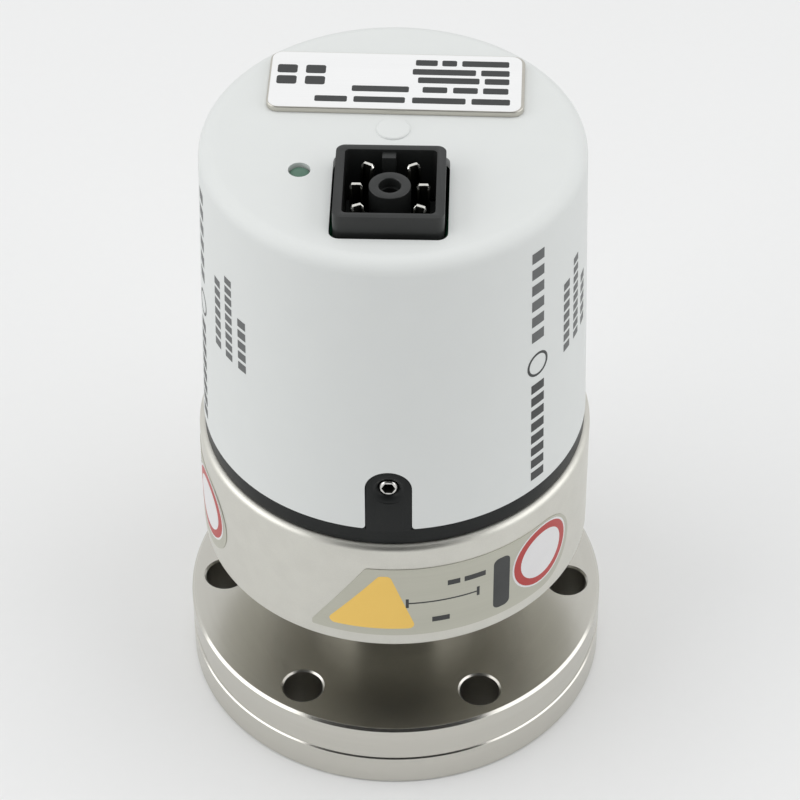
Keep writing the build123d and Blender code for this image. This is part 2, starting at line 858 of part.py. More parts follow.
def make_notch():
    """Arched notch in the cap's front with rounded feet."""
    half = tab_half_w + notch_gap
    foot = notch_foot_round
    wall_depth = cap_wall * 4
    low = cap_z - 1
    with BuildSketch(Plane.XZ) as outline:
        with BuildLine():
            Line((-half, tab_arch_z), (-half, cap_z + foot))
            RadiusArc((-half, cap_z + foot), (-half - foot, cap_z), foot)
            Line((-half - foot, cap_z), (-half - foot, low))
            Line((-half - foot, low), (half + foot, low))
            Line((half + foot, low), (half + foot, cap_z))
            RadiusArc((half + foot, cap_z), (half, cap_z + foot), foot)
            Line((half, cap_z + foot), (half, tab_arch_z))
            ThreePointArc((half, tab_arch_z), (0, tab_arch_z + half), (-half, tab_arch_z))
        make_face()
    cutter = extrude(outline.sketch, wall_depth)
    return Pos(0, -cap_base_r + wall_depth - 1, 0) * cutter


def make_window():
    """Cutter for the socket window in the cap's top."""
    width = socket_w + 2 * window_side_gap
    depth = socket_d + window_front_gap + window_back_gap
    y = socket_y + (window_back_gap - window_front_gap) / 2
    low = cap_ceiling_z - cap_top_wall / 2
    return rounded_block(width, depth, cap_top_wall * 2, window_corner_r, 0, y, low)


def make_name_plate():
    """Plain metal plate on the cap."""
    plate = extrude(RectangleRounded(plate_w, plate_d, plate_corner_r), plate_h)
    plate = chamfer(plate.faces().sort_by(Axis.Z)[-1].edges(), plate_edge)
    return Pos(plate_x, plate_y, cap_top_z) * Rot(0, 0, plate_turn) * plate


def make_socket_shell():
    """Square shroud of the connector, from the upper board to above the cap."""
    height = socket_top_z - upper_board_top_z
    body = rounded_block(socket_w, socket_d, height, socket_corner_r, 0, socket_y, upper_board_top_z)
    body = chamfer(body.faces().sort_by(Axis.Z)[-1].edges(), socket_edge)
    cavity = rounded_block(
        cavity_width(), cavity_depth(), carrier_depth, socket_cavity_corner_r, 0, socket_y, carrier_top_z)
    body = body - cavity
    ledge = 2 * carrier_ledge
    lower_h = carrier_top_z - upper_board_top_z
    throat_w = cavity_width() - ledge
    throat_d = cavity_depth() - ledge
    body = body - block(throat_w, throat_d, lower_h, 0, socket_y, upper_board_top_z)
    seat_h = carrier_h + carrier_fit
    body = body - block(cavity_width(), cavity_depth(), seat_h, 0, socket_y, carrier_top_z - carrier_h)
    key_y = socket_y + cavity_depth() / 2 - key_d / 2
    key_z = socket_top_z - key_drop - key_h
    return body + block(key_w, key_d, key_h, 0, key_y, key_z)


def cavity_width():
    """Width of the connector's cavity."""
    return socket_w - 2 * socket_side_wall


def cavity_depth():
    """Front-to-back size of the connector's cavity."""
    return socket_d - 2 * socket_end_wall


def make_contact_carrier():
    """Insulating floor of the connector with its tapped centre boss and contact slots."""
    width = cavity_width() - 2 * carrier_fit
    depth = cavity_depth() - 2 * carrier_fit
    low = carrier_top_z - carrier_h
    body = block(width, depth, carrier_h, 0, socket_y, low)
    body = body + post(boss_r, boss_top_z - carrier_top_z, 0, socket_y, carrier_top_z)
    mouth_z = boss_top_z - boss_mouth_depth
    body = body - post(boss_mouth_r, boss_mouth_depth, 0, socket_y, mouth_z)
    thread_z = carrier_top_z + boss_floor_h
    body = body - post(boss_thread_r, mouth_z - thread_z, 0, socket_y, thread_z)
    for x, y, turn in pin_layout:
        slot = Rot(0, 0, turn) * Box(pin_w + 2 * pin_fit, pin_d + 2 * pin_fit, carrier_h)
        body = body - Pos(x, socket_y + y, low + carrier_h / 2) * slot
    return body


def make_contact_pin(x, y, turn):
    """Stamped channel contact, open towards the tab side."""
    height = pin_top_z - upper_board_top_z
    channel = Box(pin_w, pin_d, height)
    hollow = Pos(0, -pin_stock / 2, 0) * Box(pin_w - 2 * pin_stock, pin_d - pin_stock, height)
    pin = channel - hollow
    tips = pin.faces().sort_by(Axis.Z)[-1].edges().filter_by(Axis.X).sort_by(Axis.Y)
    pin = chamfer(tips[-1], pin_tip_chamfer)
    return Pos(x, socket_y + y, upper_board_top_z + height / 2) * Rot(0, 0, turn) * pin


def label_outline():
    """Corners of a label as (bearing, height), slanted at its left and round at its right."""
    low = housing_z + label_low
    high = low + label_h
    round_r = label_h / 2
    mm_per_degree = radians(1) * housing_r
    corners = [
        (label_left_bearing, low),
        (label_left_bearing, low + label_foot_h),
        (label_top_left_bearing - label_corner / mm_per_degree, high - label_corner),
        (label_top_left_bearing, high),
    ]
    straight = label_round_bearing - label_top_left_bearing
    for part in range(1, label_straight_steps):
        corners.append((label_top_left_bearing + straight * part / label_straight_steps, high))
    for step in range(label_round_steps + 1):
        angle = radians(90 - step * 180 / label_round_steps)
        bearing = label_round_bearing + round_r * cos(angle) / mm_per_degree
        corners.append((bearing, low + round_r + round_r * sin(angle)))
    straight = label_round_bearing - label_left_bearing
    for part in range(1, label_straight_steps):
        corners.append((label_round_bearing - straight * part / label_straight_steps, low))
    return corners


def make_side_label(turn):
    """Thin foil label wrapped on the magnet housing."""
    middle = (label_left_bearing + label_round_bearing) / 2
    outer_r = housing_r + label_thickness
    corners = [(outer_r * sin(radians(b - middle)), z) for b, z in label_outline()]
    outline = make_face(Plane.XZ * Polyline(*corners, close=True))
    stamp = extrude(outline, 2 * outer_r, dir=(0, -1, 0))
    sheet = tube(outer_r, housing_r, housing_h, housing_z)
    return Rot(0, 0, middle + turn) * (sheet & stamp)


def make_nodes():
    """Every node's name with its solid or list of solids."""
    nodes = {
        "cf_flange": make_cf_flange(),
        "port_neck": make_port_neck(),
        "chamber_body": make_chamber_body(),
        "magnet_housing": make_magnet_housing(),
        "lower_magnet": make_magnet_ring(magnet_stack_z),
        "magnet_spacer": make_magnet_spacer(),
        "upper_magnet": make_magnet_ring(cover_z - magnet_h),
        "magnet_cover": make_magnet_cover(),
        "magnet_grub_screw": make_magnet_grub_screw(),
        "chamber_seal": make_chamber_seal(),
        "support_ring": make_support_ring(),
        "sensor_flange": make_sensor_flange(),
        "feedthrough_eyelet": make_feedthrough_eyelet(),
        "glass_insulator": make_glass_insulator(),
        "anode_pin": make_anode_pin(),
        "igniter": make_igniter(),
        "filament_header": make_filament_header(),
        "filament_tube": make_filament_tube(),
        "filament_pins": make_filament_pins(),
        "filament": make_filament(),
        "pressure_piece": make_pressure_piece(),
        "clamp_screws": make_clamp_screws(),
        "high_voltage_socket": make_high_voltage_socket(),
        "filament_socket": make_filament_socket(),
        "chassis": make_chassis(),
        "base_grub_screw": make_base_grub_screw(),
        "lower_posts": make_lower_posts(),
        "main_board": make_board(main_board_r, main_board_z),
        "middle_posts": make_middle_posts(),
        "upper_board": make_board(upper_board_r, upper_board_z),
        "board_screws": make_board_screws(),
        "cap_posts": make_cap_posts(),
        "cap_screws": make_cap_screws(),
        "transformer": make_transformer(),
        "multiplier": make_multiplier(),
        "capacitors": make_capacitors(),
        "trimmer": make_trimmer(),
        "chips": make_chips(),
        "board_link": make_board_link(),
        "status_lamp": make_status_lamp(),
        "light_pipe": make_light_pipe(),
        "cap": make_cap(),
        "name_plate": make_name_plate(),
        "socket_shell": make_socket_shell(),
        "contact_carrier": make_contact_carrier(),
        "front_side_label": make_side_label(0),
        "left_side_label": make_side_label(-label_turn_angle),
    }
    for number, (x, y, turn) in enumerate(pin_layout, start=1):
        nodes[f"contact_pin_{number}"] = make_contact_pin(x, y, turn)
    return nodes


def write_nodes(nodes):
    """Write one STEP file for each node."""
    os.makedirs("parts", exist_ok=True)
    for name, shape in nodes.items():
        solids = []
        for item in shape if isinstance(shape, list) else [shape]:
            solids += item.solids()
        export = solids[0] if len(solids) == 1 else Compound(children=solids)
        export_step(export, f"parts/{name}.step")


write_nodes(make_nodes())
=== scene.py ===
"""Looks of a compact vacuum gauge that stands on its knife-edge flange.

Sizes in the classes are millimetres and become metres when a mesh is made. Bearings are degrees
from -Y, the side of the clamping tab, towards +X.
"""
from __future__ import annotations

import logging
from dataclasses import dataclass, field
from enum import Enum
from math import cos, degrees, hypot, pi, radians, sin, tan
from typing import Any, Callable, Iterable, Sequence

import bpy
from mathutils import Matrix, Vector


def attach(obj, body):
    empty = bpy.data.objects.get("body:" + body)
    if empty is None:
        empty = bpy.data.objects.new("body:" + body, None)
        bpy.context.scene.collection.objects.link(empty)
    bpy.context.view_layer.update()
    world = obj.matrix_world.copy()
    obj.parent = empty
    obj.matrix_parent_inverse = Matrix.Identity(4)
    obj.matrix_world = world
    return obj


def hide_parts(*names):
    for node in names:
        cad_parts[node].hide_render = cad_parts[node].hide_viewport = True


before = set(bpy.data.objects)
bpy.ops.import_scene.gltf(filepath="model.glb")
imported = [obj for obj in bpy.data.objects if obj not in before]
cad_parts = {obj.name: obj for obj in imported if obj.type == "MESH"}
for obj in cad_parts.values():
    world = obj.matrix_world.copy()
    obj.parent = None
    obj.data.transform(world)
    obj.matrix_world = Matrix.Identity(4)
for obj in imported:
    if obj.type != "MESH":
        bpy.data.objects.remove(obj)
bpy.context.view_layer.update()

LOG = logging.getLogger("gauge_looks")
MM = 0.001
FULL_TURN = 2 * pi
MERGE_DISTANCE = 3e-6
SMOOTH_ANGLE = radians(28)
SUPPORT = 0.05
BODY = "root"

Corner = tuple[float, float]
Color = tuple[float, float, float]
Place = tuple[float, float, float]


# ---- Modelling helpers ----


def at_bearing(bearing: float, radius: float) -> Corner:
    """Place in plan at a bearing from -Y towards +X.

    Args:
        bearing: Degrees.
        radius: Distance from the gauge's axis.

    Returns:
        The x and y of the place, in the radius's unit.
    """
    return radius * sin(radians(bearing)), -radius * cos(radians(bearing))


def rest() -> None:
    """Leave edit mode and deselect everything."""
    if bpy.context.object is not None and bpy.context.object.mode != "OBJECT":
        bpy.ops.object.mode_set(mode="OBJECT")
    bpy.ops.object.select_all(action="DESELECT")


def take(piece: bpy.types.Object) -> None:
    """Select one piece alone and make it active."""
    rest()
    piece.select_set(True)
    bpy.context.view_layer.objects.active = piece


def edit(piece: bpy.types.Object, action: str = "SELECT") -> None:
    """Open a piece in edit mode with all of it selected, or nothing of it."""
    take(piece)
    bpy.ops.object.mode_set(mode="EDIT")
    bpy.ops.mesh.select_mode(type="VERT")
    bpy.ops.mesh.select_all(action=action)


def start_chain(name: str, first: Place) -> bpy.types.Object:
    """Start a new piece as one vertex, open in edit mode.

    Args:
        name: The piece's name.
        first: The vertex's place, in millimetres.

    Returns:
        The new object.
    """
    rest()
    bpy.ops.mesh.primitive_plane_add(size=MM)
    piece = bpy.context.object
    piece.name = name
    bpy.ops.object.mode_set(mode="EDIT")
    bpy.ops.mesh.select_all(action="SELECT")
    bpy.ops.mesh.merge(type="CENTER")
    bpy.ops.transform.translate(value=Vector(first) * MM)
    return piece


def extrude_chain(places: Sequence[Place]) -> None:
    """Extrude the selected vertex from the first place through the others."""
    for before, after in zip(places, places[1:]):
        step = (Vector(after) - Vector(before)) * MM
        bpy.ops.mesh.extrude_region_move(TRANSFORM_OT_translate={"value": step})


def rounded(corners: Sequence[tuple[float, ...]], points: int = 6, support: float = 0.0) -> list[Corner]:
    """Round the corners of an outline that give a radius.

    Args:
        corners: Corners as (a, b) or (a, b, radius), in order round the outline.
        points: Steps of each arc.
        support: How far beyond each arc a point keeps the straight side flat, or 0 for no such points.

    Returns:
        The outline's points.
    """
    outline: list[Corner] = []
    count = len(corners)
    for index, corner in enumerate(corners):
        here = Vector(corner[:2])
        radius = corner[2] if len(corner) > 2 else 0.0
        if radius <= 0:
            outline.append((here.x, here.y))
            continue
        to_last = (Vector(corners[index - 1][:2]) - here).normalized()
        to_next = (Vector(corners[(index + 1) % count][:2]) - here).normalized()
        half = to_last.angle(to_next) / 2
        centre = here + (to_last + to_next).normalized() * (radius / sin(half))
        start = here + to_last * (radius / tan(half)) - centre
        end = here + to_next * (radius / tan(half)) - centre
        sweep = start.angle_signed(end)
        if support > 0:
            outline.append(tuple(centre + start + to_last * support))
        for step in range(points + 1):
            arm = Matrix.Rotation(-sweep * step / points, 2) @ start
            outline.append((centre.x + arm.x, centre.y + arm.y))
        if support > 0:
            outline.append(tuple(centre + end + to_next * support))
    return outline


def tidy_mesh(piece: bpy.types.Object) -> None:
    """Merge doubles and turn every face outwards."""
    edit(piece)
    bpy.ops.mesh.remove_doubles(threshold=MERGE_DISTANCE)
    bpy.ops.mesh.normals_make_consistent(inside=False)
    rest()


def smooth(piece: bpy.types.Object, angle: float = SMOOTH_ANGLE) -> None:
    """Shade a piece smooth across edges flatter than an angle."""
    take(piece)
    bpy.ops.object.shade_smooth_by_angle(angle=angle)
    rest()


def turn_profile(
    name: str, corners: Sequence[Corner], steps: int = 192, centre: Corner = (0.0, 0.0), closed: bool = True
) -> bpy.types.Object:
    """Turn a profile of (radius, height) corners into a solid.

    Args:
        name: The piece's name.
        corners: Profile corners in millimetres.
        steps: Steps of the full turn.
        centre: The turning axis's place in plan.
        closed: Whether the profile's end joins its start.

    Returns:
        The turned piece.
    """
    places = [(centre[0] + radius, centre[1], height) for radius, height in corners]
    if closed:
        places.append(places[0])
    piece = start_chain(name, places[0])
    extrude_chain(places)
    bpy.ops.mesh.select_all(action="SELECT")
    pivot = (centre[0] * MM, centre[1] * MM, 0)
    bpy.ops.mesh.spin(steps=steps, angle=FULL_TURN, center=pivot, axis=(0, 0, 1))
    tidy_mesh(piece)
    return piece


def flat_outline(name: str, outline: Sequence[Corner], height: float = 0.0, upright: bool = True) -> bpy.types.Object:
    """Fill an outline as one flat face, open in edit mode with all of it selected.

    Args:
        name: The piece's name.
        outline: Points of the closed outline in millimetres.
        height: The y of an upright face or the z of a lying one.
        upright: Whether the face stands in the XZ plane.

    Returns:
        The new object.
    """
    if upright:
        places = [(a, height, b) for a, b in outline]
    else:
        places = [(a, b, height) for a, b in outline]
    piece = start_chain(name, places[0])
    extrude_chain(places)
    bpy.ops.mesh.select_all(action="SELECT")
    bpy.ops.mesh.edge_face_add()
    return piece


def prism(name: str, outline: Sequence[Corner], low: float, high: float, upright: bool = False) -> bpy.types.Object:
    """Extrude an outline from one level to another, along Z or, when upright, along Y."""
    piece = flat_outline(name, outline, low, upright)
    step = (high - low) * MM
    move = Vector((0, step, 0)) if upright else Vector((0, 0, step))
    bpy.ops.mesh.extrude_region_move(TRANSFORM_OT_translate={"value": move})
    tidy_mesh(piece)
    return piece


def rectangle(width: float, depth: float, radius: float = 0.0, x: float = 0.0, y: float = 0.0) -> list[Corner]:
    """Outline of a rectangle with round corners, centred on x and y."""
    across, along = width / 2, depth / 2
    corners = [
        (x - across, y - along, radius),
        (x + across, y - along, radius),
        (x + across, y + along, radius),
        (x - across, y + along, radius),
    ]
    return rounded(corners)


def circle(radius: float, x: float = 0.0, y: float = 0.0, points: int = 40) -> list[Corner]:
    """Outline of a circle."""
    angles = [FULL_TURN * step / points for step in range(points)]
    return [(x + radius * cos(angle), y + radius * sin(angle)) for angle in angles]


def combine(piece: bpy.types.Object, other: bpy.types.Object, operation: str) -> None:
    """Combine a piece with another solid, which is used up."""
    take(piece)
    change = piece.modifiers.new(operation.lower(), "BOOLEAN")
    change.operation = operation
    change.solver = "EXACT"
    change.object = other
    bpy.ops.object.modifier_apply(modifier=change.name)
    rest()
    bpy.data.objects.remove(other)


def cut(piece: bpy.types.Object, cutters: Iterable[bpy.types.Object]) -> None:
    """Cut solids out of a piece one after another."""
    for cutter in cutters:
        combine(piece, cutter, "DIFFERENCE")


def round_edges(piece: bpy.types.Object, width: float, angle: float = 40.0, segments: int = 3) -> None:
    """Round the edges of a piece that are sharper than an angle.

    Args:
        piece: The object.
        width: Width of the round in millimetres.
        angle: Degrees.
        segments: Steps of the round.
    """
    take(piece)
    bevel = piece.modifiers.new("edge_round", "BEVEL")
    bevel.width = width * MM
    bevel.segments = segments
    bevel.limit_method = "ANGLE"
    bevel.angle_limit = radians(angle)
    bevel.use_clamp_overlap = True
    bevel.harden_normals = False
    bpy.ops.object.modifier_apply(modifier=bevel.name)
    rest()


def set_down(piece: bpy.types.Object, turned: Place, location: Vector) -> None:
    """Turn and place a piece, then apply both, so that its object stays at the origin."""
    take(piece)
    piece.rotation_euler = turned
    piece.location = location
    bpy.ops.object.transform_apply(location=True, rotation=True, scale=True)
    rest()


def move(piece: bpy.types.Object, turn: float = 0.0, shift: Place = (0.0, 0.0, 0.0)) -> None:
    """Turn a piece about Z and shift it, with its place kept in its mesh.

    Args:
        piece: The object.
        turn: Degrees, anticlockwise from above.
        shift: Millimetres.
    """
    set_down(piece, (0.0, 0.0, radians(turn)), Vector(shift) * MM)


def radial(piece: bpy.types.Object, bearing: float, height: float) -> None:
    """Point a solid made along +Z away from the axis at a bearing and height."""
    set_down(piece, (radians(90), 0.0, radians(bearing)), Vector((0, 0, height * MM)))


def dress_part(piece: bpy.types.Object, finish: Finish, chosen: Callable[[Vector, Vector], bool]) -> None:
    """Give a second finish to the faces whose middle, in millimetres, and normal are chosen."""
    piece.data.materials.append(finish.build())
    index = len(piece.data.materials) - 1
    for polygon in piece.data.polygons:
        if chosen(polygon.center / MM, polygon.normal):
            polygon.material_index = index


def twin(piece: bpy.types.Object, name: str) -> bpy.types.Object:
    """Copy a piece with a mesh of its own."""
    copy = piece.copy()
    copy.data = piece.data.copy()
    copy.name = name
    bpy.context.scene.collection.objects.link(copy)
    return copy


def columns(piece: bpy.types.Object, spacing: float = 0.9) -> None:
    """Cut a flat upright sheet into narrow columns, so that it can bend.

    Args:
        piece: The sheet, open in edit mode.
        spacing: Width of a column in millimetres.
    """
    bpy.ops.object.mode_set(mode="OBJECT")
    across = [vertex.co.x for vertex in piece.data.vertices]
    low, high = min(across), max(across)
    bpy.ops.object.mode_set(mode="EDIT")
    count = int((high - low) / (spacing * MM))
    for index in range(1, count + 1):
        place = low + (high - low) * index / (count + 1)
        bpy.ops.mesh.select_all(action="SELECT")
        bpy.ops.mesh.bisect(plane_co=(place, 0, 0), plane_no=(1, 0, 0))
    bpy.ops.mesh.select_all(action="SELECT")


def wrap(piece: bpy.types.Object, radius: float, bearing: float, thickness: float) -> None:
    """Bend a flat upright sheet round the gauge's axis and give it a thickness outwards.

    Args:
        piece: A sheet in the XZ plane whose x runs along the arc, centred on x = 0.
        radius: Radius of its inner face in millimetres.
        bearing: Where its middle goes, in degrees.
        thickness: Millimetres.
    """
    take(piece)
    across = [vertex.co.x for vertex in piece.data.vertices]
    bend = piece.modifiers.new("bend", "SIMPLE_DEFORM")
    bend.deform_method = "BEND"
    bend.deform_axis = "Z"
    bend.angle = (max(across) - min(across)) / (radius * MM)
    bpy.ops.object.modifier_apply(modifier=bend.name)
    set_down(piece, (0.0, 0.0, radians(bearing)), Vector((*at_bearing(bearing, radius), 0)) * MM)
    edit(piece)
    bpy.ops.mesh.normals_make_consistent(inside=False)
    rest()
    face_out(piece)
    thicken(piece, thickness)


def face_out(piece: bpy.types.Object) -> None:
    """Turn a sheet's faces away from the gauge's axis."""
    polygon = piece.data.polygons[0]
    outwards = Vector((polygon.center.x, polygon.center.y, 0))
    if polygon.normal.dot(outwards) < 0:
        edit(piece)
        bpy.ops.mesh.flip_normals()
        rest()


def thicken(piece: bpy.types.Object, thickness: float) -> None:
    """Give a sheet a thickness along its normals, in millimetres."""
    take(piece)
    skin = piece.modifiers.new("skin", "SOLIDIFY")
    skin.thickness = thickness * MM
    skin.offset = 1.0
    bpy.ops.object.modifier_apply(modifier=skin.name)
    rest()


def settle(piece: bpy.types.Object, target: bpy.types.Object, lift: float) -> None:
    """Lay a sheet on a target's surface at a small lift in millimetres."""
    take(piece)
    lay = piece.modifiers.new("lay", "SHRINKWRAP")
    lay.target = target
    lay.wrap_method = "NEAREST_SURFACEPOINT"
    lay.wrap_mode = "OUTSIDE_SURFACE"
    lay.offset = lift * MM
    bpy.ops.object.modifier_apply(modifier=lay.name)
    rest()


def join(name: str, parts: Sequence[bpy.types.Object]) -> bpy.types.Object:
    """Join separate meshes into one piece."""
    rest()
    for part in parts:
        part.select_set(True)
    bpy.context.view_layer.objects.active = parts[0]
    if len(parts) > 1:
        bpy.ops.object.join()
    piece = parts[0]
    piece.name = name
    rest()
    return piece


# ---- Finishes ----


class Pattern(Enum):
    """How a finish varies over a surface."""

    GRAIN = "fine even grain"
    TURNED = "rings left by a lathe"
    DRAWN = "straight lines along X"
    SPECKLE = "dark and pale specks"


class Slot(str, Enum):
    """Names of the record's material slots; place() is given one for each new piece."""

    FLANGE = "flange_steel"
    HOUSING = "housing_steel"
    FINE_STEEL = "fine_steel"
    BLACK = "chassis_black"
    CAP = "cap_white"
    CONTACT = "contact_tin"
    LAMP = "lamp_green"
    PLATE = "plate_metal"
    FOIL = "label_foil"


class Sheet:
    """Node tree of one material."""

    def __init__(self, name: str) -> None:
        """Start an empty tree for a new material."""
        self.material = bpy.data.materials.new(name)
        self.material.use_nodes = True
        self.tree = self.material.node_tree
        self.tree.nodes.clear()

    def add(self, kind: str, **settings: Any) -> bpy.types.Node:
        """Add a node and set its properties or input values.

        Args:
            kind: The node's type.
            settings: Properties by name, or input values by name with spaces as underscores.

        Returns:
            The node.
        """
        node = self.tree.nodes.new(kind)
        for key, value in settings.items():
            title = key.replace("_", " ")
            found = [socket for socket in node.inputs if socket.name.lower() == title.lower()]
            if found and not hasattr(node, key):
                found[0].default_value = value
            else:
                setattr(node, key, value)
        return node

    def link(self, source: bpy.types.NodeSocket, target: bpy.types.NodeSocket) -> None:
        """Link two sockets."""
        self.tree.links.new(source, target)

    def math(self, operation: str, first: Any, second: Any = 0.0) -> bpy.types.NodeSocket:
        """Add a maths node whose inputs are sockets or numbers, and return its result."""
        node = self.add("ShaderNodeMath", operation=operation)
        for socket, value in zip(node.inputs, (first, second)):
            if isinstance(value, bpy.types.NodeSocket):
                self.link(value, socket)
            else:
                socket.default_value = value
        return node.outputs[0]


@dataclass(frozen=True)
class Finish:
    """A procedural surface finish."""

    name: str
    color: Color
    deep: Color
    roughness: float = 0.5
    spread: float = 0.08
    metallic: float = 0.0
    pattern: Pattern = Pattern.GRAIN
    grain: float = 0.3
    bump: float = 0.1
    anisotropy: float = 0.0
    coat: float = 0.0
    sheen: float = 0.0
    transmission: float = 0.0
    ior: float = 1.5
    specular: float = 0.5

    def coordinates(self, sheet: Sheet) -> bpy.types.NodeSocket:
        """Coordinates that the pattern's noise reads.

        Args:
            sheet: The material's node tree.

        Returns:
            A vector socket in metres along the pattern.
        """
        place = sheet.add("ShaderNodeTexCoord").outputs["Object"]
        if self.pattern is Pattern.TURNED:
            split = sheet.add("ShaderNodeSeparateXYZ")
            sheet.link(place, split.inputs[0])
            squares = sheet.math("ADD", sheet.math("POWER", split.outputs[0], 2.0), sheet.math("POWER", split.outputs[1], 2.0))
            radius = sheet.math("SQRT", squares)
            angle = sheet.math("ARCTAN2", split.outputs[0], split.outputs[1])
            rings = sheet.add("ShaderNodeCombineXYZ")
            sheet.link(radius, rings.inputs[0])
            sheet.link(split.outputs[2], rings.inputs[1])
            sheet.link(sheet.math("MULTIPLY", angle, self.grain * MM * 0.6), rings.inputs[2])
            return rings.outputs[0]
        if self.pattern is Pattern.DRAWN:
            lines = sheet.add("ShaderNodeMapping", Scale=(0.02, 1.0, 1.0))
            sheet.link(place, lines.inputs["Vector"])
            return lines.outputs[0]
        return place

    def build(self) -> bpy.types.Material:
        """Build the finish once and return its material."""
        known = bpy.data.materials.get(self.name)
        if known is not None:
            return known
        sheet = Sheet(self.name)
        out = sheet.add("ShaderNodeOutputMaterial")
        surface = sheet.add("ShaderNodeBsdfPrincipled")
        surface.inputs["Metallic"].default_value = self.metallic
        surface.inputs["IOR"].default_value = self.ior
        surface.inputs["Specular IOR Level"].default_value = self.specular
        surface.inputs["Coat Weight"].default_value = self.coat
        surface.inputs["Coat Roughness"].default_value = 0.12
        surface.inputs["Sheen Weight"].default_value = self.sheen
        surface.inputs["Transmission Weight"].default_value = self.transmission
        surface.inputs["Anisotropic"].default_value = self.anisotropy
        surface.inputs["Anisotropic Rotation"].default_value = 0.25
        sheet.link(surface.outputs[0], out.inputs["Surface"])
        place = self.coordinates(sheet)
        fine = sheet.add("ShaderNodeTexNoise", Scale=1 / (self.grain * MM), Detail=3.0)
        sheet.link(place, fine.inputs["Vector"])
        broad = sheet.add("ShaderNodeTexNoise", Scale=1 / (self.grain * MM * 24), Detail=2.0)
        sheet.link(place, broad.inputs["Vector"])
        blend = sheet.math("ADD", sheet.math("MULTIPLY", fine.outputs["Fac"], 0.55), sheet.math("MULTIPLY", broad.outputs["Fac"], 0.45))
        if self.pattern is Pattern.SPECKLE:
            specks = sheet.add("ShaderNodeTexVoronoi", Scale=1 / (self.grain * MM))
            sheet.link(place, specks.inputs["Vector"])
            blend = sheet.math("MULTIPLY", blend, sheet.math("ADD", specks.outputs["Distance"], 0.5))
        tint = sheet.add("ShaderNodeMix", data_type="RGBA", clamp_factor=True)
        tint.inputs[6].default_value = (*self.deep, 1.0)
        tint.inputs[7].default_value = (*self.color, 1.0)
        spread = sheet.add("ShaderNodeMapRange")
        spread.inputs["From Min"].default_value = 0.3
        spread.inputs["From Max"].default_value = 0.7
        sheet.link(blend, spread.inputs["Value"])
        sheet.link(spread.outputs[0], tint.inputs[0])
        sheet.link(tint.outputs[2], surface.inputs["Base Color"])
        rough = sheet.add("ShaderNodeMapRange")
        rough.inputs["From Min"].default_value = 0.3
        rough.inputs["From Max"].default_value = 0.7
        rough.inputs["To Min"].default_value = self.roughness + self.spread / 2
        rough.inputs["To Max"].default_value = self.roughness - self.spread / 2
        sheet.link(blend, rough.inputs["Value"])
        sheet.link(rough.outputs[0], surface.inputs["Roughness"])
        if self.bump > 0:
            bump = sheet.add("ShaderNodeBump", Strength=self.bump, Distance=self.grain * MM * 0.5)
            sheet.link(fine.outputs["Fac"], bump.inputs["Height"])
            sheet.link(bump.outputs[0], surface.inputs["Normal"])
        if self.anisotropy > 0:
            tangent = sheet.add("ShaderNodeTangent", direction_type="RADIAL", axis="Z")
            sheet.link(tangent.outputs[0], surface.inputs["Tangent"])
        return sheet.material


